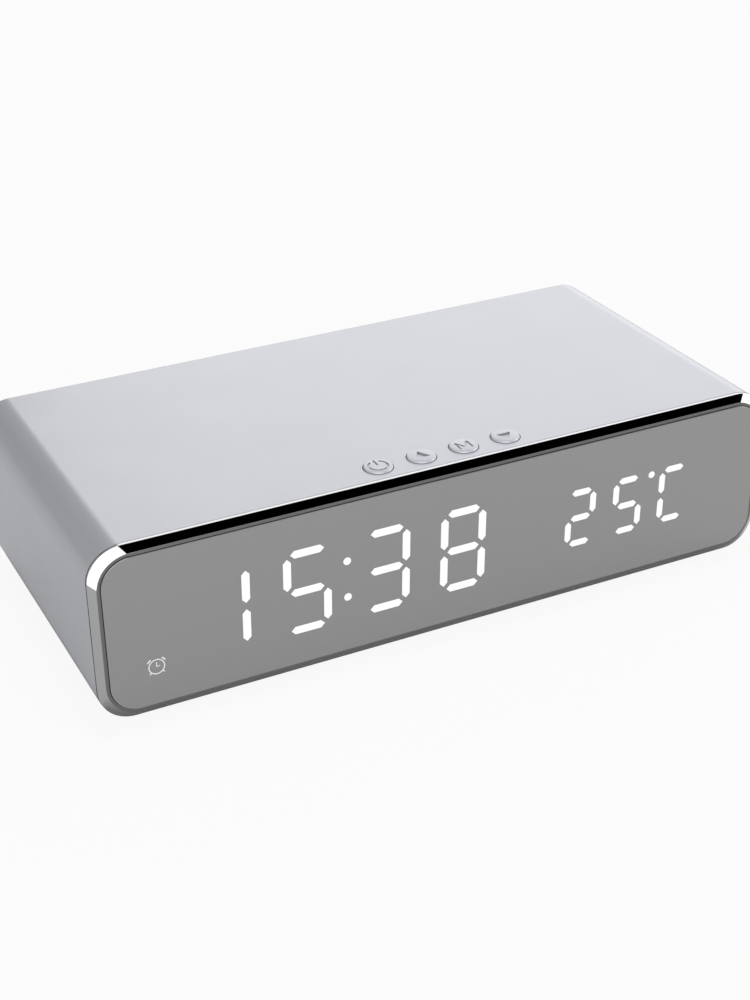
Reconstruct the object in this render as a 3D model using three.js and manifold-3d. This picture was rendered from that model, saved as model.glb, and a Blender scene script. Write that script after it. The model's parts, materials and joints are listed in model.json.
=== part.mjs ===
// Wireless charging alarm clock: a rounded silver sleeve with a chamfered bright bezel, a half-mirror lens
// over a seven-segment display, four push buttons, a charging coil under the top wall and a rear cover.
// Millimetres, +Z up, +X to the right of someone who faces the display, which looks towards -Y.
// The origin is on the table, under the middle of the clock.

import * as THREE from 'three';
import { mergeVertices } from 'three/addons/utils/BufferGeometryUtils.js';
import Module from 'manifold-3d';

const wasm = await Module();
wasm.setup();

// Housing sleeve
const WIDTH = 160;
const SLEEVE_HEIGHT = 39.6;
const SLEEVE_DEPTH = 74.55;
const SLEEVE_WALL = 2.4;
const CORNER_R = 7.5;

// Front bezel and lens
const BEZEL_LAND = 0.75;
const CHAMFER_IN = 1.55;
const CHAMFER_FORWARD = 1.15;
const CHAMFER_CORNER_DROP = 0.3;
const RIM_WIDTH = 0.7;
const RIM_CORNER_DROP = 0.8;
const SPIGOT_WALL = 1.5;
const SPIGOT_LENGTH = 3;
const SPIGOT_CLEARANCE = 0.1;
const LENS_PROUD = 0.35;
const LENS_THICKNESS = 1.2;
const LENS_CLEARANCE = 0.1;

// Rubber feet
const FOOT_R = 5;
const FOOT_PROUD = 1.2;
const FOOT_POCKET_DEPTH = 0.5;
const FOOT_CLEARANCE = 0.2;
const FOOT_CHAMFER = 0.4;
const FOOT_FROM_SIDE = 16;
const FOOT_FROM_END = 12;

// Buttons and their switches
const BUTTON_NAMES = ['power', 'up', 'mode', 'down'];
const BUTTON_R = 3.15;
const BUTTON_CLEARANCE = 0.15;
const BUTTON_GAP = 3.8;
const BUTTON_ROW_X = 0.8;
const BUTTON_SETBACK = 2.7;
const BUTTON_RAISE = 0.4;
const BUTTON_EDGE = 0.25;
const BUTTON_TRAVEL = 0.4;
const FLANGE_LIP = 0.9;
const FLANGE_THICKNESS = 0.8;
const FLANGE_GAP = 0.1;
const STEM_R = 1.6;
const STEM_LENGTH = 0.5;
const PLUNGER_R = 1.4;
const PLUNGER_OUT = 0.7;
const PLUNGER_IN = 0.5;
const PLUNGER_CLEARANCE = 0.15;
const SWITCH_SIDE = 5.2;
const SWITCH_HEIGHT = 1.6;
const SWITCH_FLOOR_GAP = 0.2;
const BUTTON_BOARD_THICKNESS = 1.2;
const BUTTON_BOARD_AHEAD = 3.65;
const BUTTON_BOARD_BEHIND = 9.35;
const BUTTON_BOARD_END = 14;
const BOARD_POST_R = 2.5;
const BOARD_POST_FROM_END = 4;
const BOARD_POST_BEHIND = 5.85;

// Display: two groups of seven-segment digits, two colon dots, a degree dot and the alarm mark
const DISPLAY_HEADROOM = 1.5;
const DISPLAY_FOOTROOM = 3.3;
const DIGIT_TOP_MARGIN = 1.3;
const DIGIT_BOTTOM_MARGIN = 2.4;
const CLOCK_DIGITS = 4;
const CLOCK_DIGIT_X = -48;
const CLOCK_DIGIT_PITCH = 18.1;
const CLOCK_DIGIT_WIDTH = 9.1;
const CLOCK_SEGMENT = 1.8;
const CLOCK_SEGMENT_GAP = 0.75;
const COLON_SPREAD = 4.3;
const COLON_R = 0.9;
const HEAT_DIGITS = 3;
const HEAT_DIGIT_X = 34.3;
const HEAT_DIGIT_PITCH = 12.1;
const HEAT_DIGIT_WIDTH = 6.1;
const HEAT_DIGIT_SHORTER = 2.8;
const HEAT_SEGMENT = 1.5;
const HEAT_SEGMENT_GAP = 0.6;
const DEGREE_R = 0.8;
const ALARM_MARK_R = 2.6;
const ALARM_MARK_FROM_END = 0.8;
const ALARM_MARK_FROM_BOTTOM = 1.3;
const MASK_THICKNESS = 4;
const FILM_THICKNESS = 0.3;
const LED_BOARD_THICKNESS = 1.2;
const LED_WIDTH = 1;
const LED_HEIGHT = 0.6;
const DISPLAY_POST_WIDTH = 4.5;
const DISPLAY_POST_HEIGHT = 6;
const DISPLAY_SCREW_FROM_END = 4.75;
const DISPLAY_POST_GAP = 0.3;

// Screws: all are alike but for the shank's length
const SCREW_R = 0.95;
const SCREW_HEAD_R = 1.9;
const SCREW_HEAD_HEIGHT = 1.2;
const SCREW_CROWN = 0.4;
const SCREW_CLEARANCE = 0.15;
const SCREW_SEAT_GAP = 0.05;
const SCREW_TIP_GAP = 0.4;
const CROSS_WIDTH = 0.5;
const CROSS_LENGTH = 2.2;
const CROSS_DEPTH = 0.6;
const DISPLAY_SCREW_LENGTH = 3.2;
const BUTTON_SCREW_LENGTH = 4;
const MAIN_SCREW_LENGTH = 3.4;
const REAR_SCREW_LENGTH = 7;

// Charging coil, as large as the room between the button board and the rear cover
const COIL_MARGIN = 3;
const COIL_BAND = 11.75;
const COIL_THICKNESS = 1.6;
const FERRITE_CLEARANCE = 3.65;
const FERRITE_THICKNESS = 1.2;
const FERRITE_CORNER_R = 0.5;

// Rear cover and its bosses in the sleeve
const COVER_RECESS = 0.8;
const COVER_THICKNESS = 2;
const COVER_CLEARANCE = 0.15;
const BOSS_R = 3.9;
const BOSS_BITE = 0.8;
const BOSS_LENGTH = 10;
const COUNTERBORE_DEPTH = 0.8;
const SHELF_WIDTH = 6;
const SHELF_THICKNESS = 2;
const SHELF_WEB = 2;
const SHELF_WEB_HEIGHT = 3;
const VENT_RISE = 12;
const VENT_WIDTH = 1.2;
const VENT_LENGTH = 9;
const VENT_PITCH = 3;
const VENT_COUNT = 5;
const SOUND_HOLE_R = 0.8;
const SOUND_RING_R = 3.4;
const SOUND_HOLE_COUNT = 6;
const SOUND_RISE = 12;

// Main board and what stands on it; places are measured from the board's front left corner
const MAIN_BOARD_WIDTH = 70;
const MAIN_BOARD_DEPTH = 34;
const MAIN_BOARD_THICKNESS = 1.6;
const MAIN_BOARD_RISE = 6.8;
const MAIN_BOARD_REAR_GAP = 0.3;
const MAIN_SCREW_FROM_SIDE = 3;
const MAIN_SCREW_FROM_FRONT = 4;
const INLET_WIDTH = 8.94;
const INLET_HEIGHT = 3.26;
const INLET_LENGTH = 7.4;
const INLET_SHELL = 0.33;
const INLET_SETBACK = 0.2;
const INLET_CLEARANCE = 0.3;
const TONGUE_SIDE_GAP = 0.84;
const TONGUE_THICKNESS = 0.7;
const TONGUE_SETBACK = 0.8;
const TONGUE_BASE_LENGTH = 2.4;
const TONGUE_BASE_GAP = 0.3;
const CHIP_CORNER_R = 0.4;
const CONTROLLER_PLACE = [37, 12];
const CONTROLLER_SIDE = 9;
const CONTROLLER_HEIGHT = 1.5;
const CHARGE_CHIP_PLACE = [49, 12];
const CHARGE_CHIP_SIDE = 5;
const CHARGE_CHIP_HEIGHT = 0.9;
const INDUCTOR_PLACE = [58, 14];
const INDUCTOR_SIDE = 6;
const INDUCTOR_HEIGHT = 3;
const INDUCTOR_CORNER_R = 1.2;
const CAPACITOR_PLACE = [39, 22];
const CAPACITOR_WIDTH = 7.2;
const CAPACITOR_DEPTH = 3.5;
const CAPACITOR_HEIGHT = 6;
const CAPACITOR_CORNER_R = 0.7;
const BUZZER_PLACE = [56, 26];
const BUZZER_R = 6;
const BUZZER_HEIGHT = 7.5;
const BUZZER_HOLE_R = 1.2;
const BUZZER_HOLE_DEPTH = 1.5;
const CELL_PLACE = [16, 16];
const CELL_R = 6.25;
const CELL_THICKNESS = 2;
const CELL_CLEARANCE = 0.15;
const HOLDER_WALL = 1.2;
const HOLDER_FLOOR = 1.2;
const HOLDER_LIP = 0.4;
const HOLDER_CORNER_R = 0.8;
const SENSOR_PLACE = [10, 31];
const SENSOR_LEG_R = 0.7;
const SENSOR_BEAD_R = 1.6;

// Inside leads
const LEAD_GAP = 0.1;
const LEAD_LANDING = 3;
const DISPLAY_RIBBON_PLACE = 30;
const DISPLAY_RIBBON_WIDTH = 10;
const BUTTON_RIBBON_PLACE = 44;
const BUTTON_RIBBON_WIDTH = 6;
const COIL_LEAD_PLACE = 38;
const COIL_LEAD_WIDTH = 2.6;
const RIBBON_THICKNESS = 0.8;
const COIL_LEAD_THICKNESS = 1.2;
const COIL_LEAD_GAP = 0.3;

// How finely round shapes are cut, how far a cut runs past a face, and how close points are taken as one
const CORNER_STEPS = 8;
const SMALL_CORNER_STEPS = 3;
const FINE_STEPS = 28;
const COARSE_STEPS = 12;
const LEAD_STEPS = 30;
const OVERRUN = 1;
const SAME_POINT = 1e-4;

// Planes that follow from the sizes above
const TOTAL_DEPTH = LENS_PROUD + CHAMFER_FORWARD + BEZEL_LAND + SLEEVE_DEPTH;
const FRONT_Y = -TOTAL_DEPTH / 2;
const RIM_Y = FRONT_Y + LENS_PROUD;
const EDGE_Y = RIM_Y + CHAMFER_FORWARD;
const SLEEVE_FRONT_Y = EDGE_Y + BEZEL_LAND;
const SLEEVE_BACK_Y = SLEEVE_FRONT_Y + SLEEVE_DEPTH;
const LENS_BACK_Y = FRONT_Y + LENS_THICKNESS;
const MASK_FRONT_Y = LENS_BACK_Y + FILM_THICKNESS;
const LED_BOARD_FRONT_Y = MASK_FRONT_Y + MASK_THICKNESS;
const LED_BOARD_BACK_Y = LED_BOARD_FRONT_Y + LED_BOARD_THICKNESS;
const COVER_BACK_Y = SLEEVE_BACK_Y - COVER_RECESS;
const COVER_FRONT_Y = COVER_BACK_Y - COVER_THICKNESS;
const BOTTOM_Z = FOOT_PROUD;
const TOP_Z = BOTTOM_Z + SLEEVE_HEIGHT;
const MID_Z = BOTTOM_Z + SLEEVE_HEIGHT / 2;
const FLOOR_Z = BOTTOM_Z + SLEEVE_WALL;
const CEILING_Z = TOP_Z - SLEEVE_WALL;

// Button stack, from the top wall down
const BUTTON_Y = EDGE_Y + BUTTON_SETBACK + BUTTON_R;
const BUTTON_PITCH = 2 * BUTTON_R + BUTTON_GAP;
const FLANGE_R = BUTTON_R + FLANGE_LIP;
const FLANGE_TOP_Z = CEILING_Z - FLANGE_GAP;
const FLANGE_BOTTOM_Z = FLANGE_TOP_Z - FLANGE_THICKNESS;
const PLUNGER_TOP_Z = FLANGE_BOTTOM_Z - STEM_LENGTH;
const SWITCH_TOP_Z = PLUNGER_TOP_Z - PLUNGER_OUT;
const BUTTON_BOARD_TOP_Z = SWITCH_TOP_Z - SWITCH_HEIGHT;
const BUTTON_BOARD_BOTTOM_Z = BUTTON_BOARD_TOP_Z - BUTTON_BOARD_THICKNESS;
const BUTTON_ROW_MIDDLE = (BUTTON_NAMES.length - 1) / 2;
const BUTTON_XS = BUTTON_NAMES.map((_, i) => BUTTON_ROW_X + (i - BUTTON_ROW_MIDDLE) * BUTTON_PITCH);
const BUTTON_BOARD_LEFT = BUTTON_XS[0] - BUTTON_BOARD_END;
const BUTTON_BOARD_RIGHT = BUTTON_XS.at(-1) + BUTTON_BOARD_END;
const BUTTON_BOARD_FRONT = BUTTON_Y - BUTTON_BOARD_AHEAD;
const BUTTON_BOARD_BACK = BUTTON_Y + BUTTON_BOARD_BEHIND;
const BOARD_POST_XS = [BUTTON_BOARD_LEFT + BOARD_POST_FROM_END, BUTTON_BOARD_RIGHT - BOARD_POST_FROM_END];
const BOARD_POST_Y = BUTTON_Y + BOARD_POST_BEHIND;

// Bezel insets from the sleeve's outside, and corner radii
const RIM_CORNER_R = CORNER_R - CHAMFER_CORNER_DROP;
const POCKET_CORNER_R = RIM_CORNER_R - RIM_CORNER_DROP;
const POCKET_INSET = CHAMFER_IN + RIM_WIDTH;
const SPIGOT_INSET = SLEEVE_WALL + SPIGOT_CLEARANCE;
const OPENING_INSET = SPIGOT_INSET + SPIGOT_WALL;
const OPENING_HALF_WIDTH = WIDTH / 2 - OPENING_INSET;

// Display block, between the button board and the bezel's lower side, with the posts at its ends
const MASK_TOP_Z = BUTTON_BOARD_BOTTOM_Z - DISPLAY_HEADROOM;
const MASK_BOTTOM_Z = BOTTOM_Z + OPENING_INSET + DISPLAY_FOOTROOM;
const MASK_MID_Z = (MASK_TOP_Z + MASK_BOTTOM_Z) / 2;
const DISPLAY_POST_INNER_X = OPENING_HALF_WIDTH - DISPLAY_POST_WIDTH;
const MASK_HALF_WIDTH = DISPLAY_POST_INNER_X - DISPLAY_POST_GAP;
const DISPLAY_SCREW_X = OPENING_HALF_WIDTH - DISPLAY_POST_WIDTH / 2;
const DISPLAY_SCREW_ZS = [MASK_BOTTOM_Z + DISPLAY_SCREW_FROM_END, MASK_TOP_Z - DISPLAY_SCREW_FROM_END];

// Digits as high as the block allows; the colon and the degree dot stand midway between their neighbours
const DIGIT_TOP_Z = MASK_TOP_Z - DIGIT_TOP_MARGIN - CLOCK_SEGMENT / 2;
const DIGIT_BOTTOM_Z = MASK_BOTTOM_Z + DIGIT_BOTTOM_MARGIN + CLOCK_SEGMENT / 2;
const DIGIT_Z = (DIGIT_TOP_Z + DIGIT_BOTTOM_Z) / 2;
const CLOCK_DIGIT_HALF = (DIGIT_TOP_Z - DIGIT_BOTTOM_Z) / 2;
const HEAT_DIGIT_HALF = CLOCK_DIGIT_HALF - HEAT_DIGIT_SHORTER;
const COLON_X = CLOCK_DIGIT_X + CLOCK_DIGIT_PITCH + (CLOCK_DIGIT_PITCH - CLOCK_DIGIT_WIDTH) / 2;
const DEGREE_X = HEAT_DIGIT_X + HEAT_DIGIT_PITCH + (HEAT_DIGIT_PITCH - HEAT_DIGIT_WIDTH) / 2;
const ALARM_MARK_X = -MASK_HALF_WIDTH + ALARM_MARK_FROM_END + ALARM_MARK_R;
const ALARM_MARK_Z = MASK_BOTTOM_Z + ALARM_MARK_FROM_BOTTOM + ALARM_MARK_R;

// Charging pad, between the button row and the back
const COIL_Y = (BUTTON_BOARD_BACK + COVER_FRONT_Y) / 2;
const FERRITE_SIDE = COVER_FRONT_Y - BUTTON_BOARD_BACK - 2 * FERRITE_CLEARANCE;
const COIL_R = FERRITE_SIDE / 2 - COIL_MARGIN;
const COIL_EYE_R = COIL_R - COIL_BAND;
const COIL_LEAD_Y = COIL_Y - (COIL_R + COIL_EYE_R) / 2;
const COIL_BOTTOM_Z = CEILING_Z - COIL_THICKNESS;

// Main board on the rear cover
const MAIN_BOARD_BACK = COVER_FRONT_Y - MAIN_BOARD_REAR_GAP;
const MAIN_BOARD_FRONT = MAIN_BOARD_BACK - MAIN_BOARD_DEPTH;
const MAIN_BOARD_LEFT = -MAIN_BOARD_WIDTH / 2;
const MAIN_BOARD_BOTTOM_Z = FLOOR_Z + MAIN_BOARD_RISE;
const MAIN_BOARD_TOP_Z = MAIN_BOARD_BOTTOM_Z + MAIN_BOARD_THICKNESS;
const INLET_MID_Z = MAIN_BOARD_TOP_Z + INLET_HEIGHT / 2;
const INLET_BACK_Y = COVER_BACK_Y - INLET_SETBACK;
const SCREW_HOLE_R = SCREW_R + SCREW_CLEARANCE;
const VENT_X = MAIN_BOARD_LEFT + SENSOR_PLACE[0];
const COIL_LEAD_X = MAIN_BOARD_LEFT + COIL_LEAD_PLACE;

// Rear bosses, each on the diagonal of a corner and sunk into the corner's round
const BORE_R = CORNER_R - SLEEVE_WALL;
const BOSS_FROM_WALL = BORE_R - (BORE_R - BOSS_R + BOSS_BITE) * Math.SQRT1_2;
const BOSS_X = WIDTH / 2 - SLEEVE_WALL - BOSS_FROM_WALL;
const BOSS_ZS = [FLOOR_Z + BOSS_FROM_WALL, CEILING_Z - BOSS_FROM_WALL];

// Finishes
const finish = (color, roughness, metalness) => () => (
  new THREE.MeshStandardMaterial({ color, roughness, metalness })
);
const silverPaint = finish(0xc9cacd, 0.38, 0.55);
const brightPlate = finish(0xe6e7e9, 0.06, 1);
const halfMirror = finish(0x8e8e8e, 0.04, 0.9);
const blackPlastic = finish(0x1c1c1e, 0.55, 0);
const greyPlastic = finish(0x8d8f93, 0.5, 0);
const whiteFilm = finish(0xf2f2ee, 0.6, 0);
const boardGreen = finish(0x1d5a3a, 0.5, 0.1);
const boardBlack = finish(0x18201c, 0.5, 0.1);
const steel = finish(0xb4b6b8, 0.3, 1);
const copper = finish(0xb87346, 0.35, 1);
const ferriteGrey = finish(0x3a3a3c, 0.7, 0.1);
const rubber = finish(0x222222, 0.9, 0);
const chipBlack = finish(0x151515, 0.45, 0);
const capacitorRed = finish(0x8a2f22, 0.4, 0);
const ribbonGrey = finish(0xa9abb0, 0.6, 0);
const leadRed = finish(0x9c2b22, 0.5, 0);

// Shape helpers

// A closed mesh as a solid that can be joined and cut
function solid(geometry) {
  const bare = geometry.clone();
  bare.deleteAttribute('normal');
  bare.deleteAttribute('uv');
  const merged = mergeVertices(bare, SAME_POINT);
  const mesh = new wasm.Mesh({
    numProp: 3,
    vertProperties: new Float32Array(merged.attributes.position.array),
    triVerts: new Uint32Array(merged.index.array),
  });
  return new wasm.Manifold(mesh);
}

// A solid as a mesh again
function geometryOf(body) {
  const mesh = body.getMesh();
  const geometry = new THREE.BufferGeometry();
  geometry.setAttribute('position', new THREE.BufferAttribute(mesh.vertProperties, 3));
  geometry.setIndex(new THREE.BufferAttribute(mesh.triVerts, 1));
  geometry.computeVertexNormals();
  return geometry;
}

const join = (first, ...others) => others.reduce((sum, g) => sum.add(solid(g)), first);
const cut = (first, ...others) => others.reduce((rest, g) => rest.subtract(solid(g)), first);

// Points of a rounded rectangle about the origin, anticlockwise from the upper end of its right side
function roundedOutline(width, height, radius, steps = CORNER_STEPS) {
  const points = [];
  const corners = [[1, 1], [-1, 1], [-1, -1], [1, -1]];
  corners.forEach(([sx, sy], quarter) => {
    for (let i = 0; i <= steps; i += 1) {
      const angle = (quarter + i / steps) * Math.PI / 2;
      const x = sx * (width / 2 - radius) + radius * Math.cos(angle);
      const y = sy * (height / 2 - radius) + radius * Math.sin(angle);
      points.push(new THREE.Vector2(x, y));
    }
  });
  return points.filter((point, i) => point.distanceTo(points.at(i - 1)) > SAME_POINT);
}

const roundedRect = (width, height, radius, steps) => (
  new THREE.Shape(roundedOutline(width, height, radius, steps))
);

function extruded(shape, depth) {
  return new THREE.ExtrudeGeometry(shape, { depth, bevelEnabled: false, steps: 1 });
}

// A flat shape in X and Z, made thick from front y0 to back y1
function slabAlongY(shape, y0, y1) {
  return extruded(shape, y1 - y0).rotateX(Math.PI / 2).translate(0, y1, 0);
}

// A flat shape in X and Y, made thick from z0 up to z1
function slabAlongZ(shape, z0, z1) {
  return extruded(shape, z1 - z0).translate(0, 0, z0);
}

// A flat shape in Y and Z, made thick from x0 to x1
function slabAlongX(shape, x0, x1) {
  const turn = new THREE.Matrix4().makeBasis(
    new THREE.Vector3(0, 1, 0),
    new THREE.Vector3(0, 0, 1),
    new THREE.Vector3(1, 0, 0),
  );
  return extruded(shape, x1 - x0).applyMatrix4(turn).translate(x0, 0, 0);
}

function block(x0, x1, y0, y1, z0, z1) {
  const geometry = new THREE.BoxGeometry(x1 - x0, y1 - y0, z1 - z0);
  return geometry.translate((x0 + x1) / 2, (y0 + y1) / 2, (z0 + z1) / 2);
}

// A body of revolution about Z, from a profile of [radius, height] pairs listed upwards
function turned(profile, steps = FINE_STEPS) {
  const points = profile.map(([radius, height]) => new THREE.Vector2(radius, height));
  return new THREE.LatheGeometry(points, steps).rotateX(Math.PI / 2);
}

const rodAlongZ = (radius, z0, z1, steps) => turned([[0, z0], [radius, z0], [radius, z1], [0, z1]], steps);

const rodAlongY = (radius, y0, y1, steps) => rodAlongZ(radius, y0, y1, steps).rotateX(-Math.PI / 2);

// A ring-shaped body through closed outlines, each as [inset from the sleeve's outside, y, corner radius]
function ringBody(outlines) {
  const loops = outlines.map(([inset, y, radius]) => (
    roundedOutline(WIDTH - 2 * inset, SLEEVE_HEIGHT - 2 * inset, radius)
      .map((p) => [p.x, y, MID_Z + p.y])
  ));
  const count = loops[0].length;
  const index = [];
  loops.forEach((_, k) => {
    const next = (k + 1) % loops.length;
    for (let i = 0; i < count; i += 1) {
      const j = (i + 1) % count;
      const a = k * count + i;
      const b = k * count + j;
      const c = next * count + j;
      const d = next * count + i;
      index.push(a, b, c, a, c, d);
    }
  });
  const geometry = new THREE.BufferGeometry();
  geometry.setAttribute('position', new THREE.Float32BufferAttribute(loops.flat(2), 3));
  geometry.setIndex(index);
  geometry.computeVertexNormals();
  return geometry;
}

// A flat lead seen from the side: a band of even thickness along a path in Y and Z
function leadBand(path, thickness) {
  const upper = [];
  const lower = [];
  for (let i = 0; i <= LEAD_STEPS; i += 1) {
    const at = path.getPointAt(i / LEAD_STEPS);
    const along = path.getTangentAt(i / LEAD_STEPS);
    const aside = new THREE.Vector2(-along.y, along.x).multiplyScalar(thickness / 2);
    upper.unshift(at.clone().add(aside));
    lower.push(at.clone().sub(aside));
  }
  return new THREE.Shape([...lower, ...upper]);
}

const clock = new THREE.Group();

function addPiece(name, geometry, material, place = [0, 0, 0], turnX = 0) {
  const mesh = new THREE.Mesh(geometry, material());
  mesh.name = name;
  mesh.position.set(...place);
  mesh.rotation.x = turnX;
  clock.add(mesh);
}

// Every combination of two lists of places, numbered from 1
const pairs = (xs, zs) => xs.flatMap((x) => zs.map((z) => [x, z])).map(([x, z], i) => [i + 1, x, z]);

// A pan-head screw about Z, with its head's underside at zero and a cross recess in the head
function screw(length) {
  const body = solid(turned([
    [0, -length],
    [SCREW_R, -length],
    [SCREW_R, 0],
    [SCREW_HEAD_R, 0],
    [SCREW_HEAD_R, SCREW_HEAD_HEIGHT - SCREW_CROWN],
    [SCREW_HEAD_R - SCREW_CROWN, SCREW_HEAD_HEIGHT],
    [0, SCREW_HEAD_HEIGHT],
  ], COARSE_STEPS));
  const low = SCREW_HEAD_HEIGHT - CROSS_DEPTH;
  const high = SCREW_HEAD_HEIGHT + CROSS_DEPTH;
  const long = CROSS_LENGTH / 2;
  const wide = CROSS_WIDTH / 2;
  const across = block(-long, long, -wide, wide, low, high);
  const upright = block(-wide, wide, -long, long, low, high);
  return geometryOf(cut(body, across, upright));
}

// Display marks: the outline and the centre of each window in the mask, in X and Z

// A pointed bar from one corner of a digit to another, kept short of both by the gap
function segmentShape(from, to, thickness, gap) {
  const along = to.clone().sub(from).normalize();
  const aside = new THREE.Vector2(-along.y, along.x).multiplyScalar(thickness / 2);
  const start = from.clone().addScaledVector(along, gap);
  const end = to.clone().addScaledVector(along, -gap);
  const startNeck = start.clone().addScaledVector(along, thickness / 2);
  const endNeck = end.clone().addScaledVector(along, -thickness / 2);
  return new THREE.Shape([
    start,
    startNeck.clone().sub(aside),
    endNeck.clone().sub(aside),
    end,
    endNeck.clone().add(aside),
    startNeck.clone().add(aside),
  ]);
}

// Ends of a digit's seven bars: 0 or 1 across its width, -1 to 1 up its height
const BARS = [
  [[0, 1], [1, 1]],
  [[1, 0], [1, 1]],
  [[1, -1], [1, 0]],
  [[0, -1], [1, -1]],
  [[0, -1], [0, 0]],
  [[0, 0], [0, 1]],
  [[0, 0], [1, 0]],
];

function digitMarks(count, firstX, pitch, width, half, thickness, gap) {
  const marks = [];
  for (let digit = 0; digit < count; digit += 1) {
    const left = firstX - width + digit * pitch;
    BARS.forEach((ends) => {
      const [from, to] = ends.map(([across, up]) => (
        new THREE.Vector2(left + across * width, DIGIT_Z + up * half)
      ));
      const centre = from.clone().add(to).multiplyScalar(0.5);
      marks.push({ shape: segmentShape(from, to, thickness, gap), centre });
    });
  }
  return marks;
}

function dotMark(x, z, radius) {
  const shape = new THREE.Shape();
  shape.absarc(x, z, radius, 0, 2 * Math.PI);
  const points = shape.getSpacedPoints(COARSE_STEPS).slice(0, COARSE_STEPS);
  return { shape: new THREE.Shape(points), centre: new THREE.Vector2(x, z) };
}

const displayMarks = [
  ...digitMarks(CLOCK_DIGITS, CLOCK_DIGIT_X, CLOCK_DIGIT_PITCH, CLOCK_DIGIT_WIDTH, CLOCK_DIGIT_HALF,
    CLOCK_SEGMENT, CLOCK_SEGMENT_GAP),
  ...digitMarks(HEAT_DIGITS, HEAT_DIGIT_X, HEAT_DIGIT_PITCH, HEAT_DIGIT_WIDTH, HEAT_DIGIT_HALF,
    HEAT_SEGMENT, HEAT_SEGMENT_GAP),
  dotMark(COLON_X, DIGIT_Z + COLON_SPREAD, COLON_R),
  dotMark(COLON_X, DIGIT_Z - COLON_SPREAD, COLON_R),
  dotMark(DEGREE_X, DIGIT_Z + HEAT_DIGIT_HALF, DEGREE_R),
  dotMark(ALARM_MARK_X, ALARM_MARK_Z, ALARM_MARK_R),
];

const FEET = pairs(
  [-WIDTH / 2 + FOOT_FROM_SIDE, WIDTH / 2 - FOOT_FROM_SIDE],
  [SLEEVE_FRONT_Y + FOOT_FROM_END, SLEEVE_BACK_Y - FOOT_FROM_END],
);
const BOSSES = pairs([-BOSS_X, BOSS_X], BOSS_ZS);
const DISPLAY_SCREWS = pairs([-DISPLAY_SCREW_X, DISPLAY_SCREW_X], DISPLAY_SCREW_ZS);

// Sleeve: an open tube with rear bosses, button-board posts, button holes and foot pockets
function housingSleeve() {
  const section = roundedRect(WIDTH, SLEEVE_HEIGHT, CORNER_R);
  const bore = roundedOutline(WIDTH - 2 * SLEEVE_WALL, SLEEVE_HEIGHT - 2 * SLEEVE_WALL, BORE_R);
  section.holes.push(new THREE.Path(bore));
  const tube = solid(slabAlongY(section, SLEEVE_FRONT_Y, SLEEVE_BACK_Y).translate(0, 0, MID_Z));
  const bosses = BOSSES.map(([, x, z]) => (
    rodAlongY(BOSS_R, COVER_FRONT_Y - BOSS_LENGTH, COVER_FRONT_Y, COARSE_STEPS).translate(x, 0, z)
  ));
  const bossHoles = BOSSES.map(([, x, z]) => {
    const depth = REAR_SCREW_LENGTH - COVER_THICKNESS + COUNTERBORE_DEPTH + SCREW_TIP_GAP;
    return rodAlongY(SCREW_HOLE_R, COVER_FRONT_Y - depth, SLEEVE_BACK_Y, COARSE_STEPS).translate(x, 0, z);
  });
  const wallMiddle = CEILING_Z + SLEEVE_WALL / 2;
  const posts = BOARD_POST_XS.map((x) => (
    rodAlongZ(BOARD_POST_R, BUTTON_BOARD_TOP_Z, wallMiddle, COARSE_STEPS).translate(x, BOARD_POST_Y, 0)
  ));
  const postHoles = BOARD_POST_XS.map((x) => {
    const reach = BUTTON_BOARD_BOTTOM_Z + BUTTON_SCREW_LENGTH + SCREW_TIP_GAP;
    return rodAlongZ(SCREW_HOLE_R, BUTTON_BOARD_BOTTOM_Z, reach, COARSE_STEPS).translate(x, BOARD_POST_Y, 0);
  });
  const buttonHoles = BUTTON_XS.map((x) => (
    rodAlongZ(BUTTON_R + BUTTON_CLEARANCE, CEILING_Z - OVERRUN, TOP_Z + OVERRUN).translate(x, BUTTON_Y, 0)
  ));
  const footPockets = FEET.map(([, x, y]) => (
    rodAlongZ(FOOT_R + FOOT_CLEARANCE, BOTTOM_Z - OVERRUN, BOTTOM_Z + FOOT_POCKET_DEPTH).translate(x, y, 0)
  ));
  const holes = [...bossHoles, ...postHoles, ...buttonHoles, ...footPockets];
  return geometryOf(cut(join(tube, ...bosses, ...posts), ...holes));
}

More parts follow.
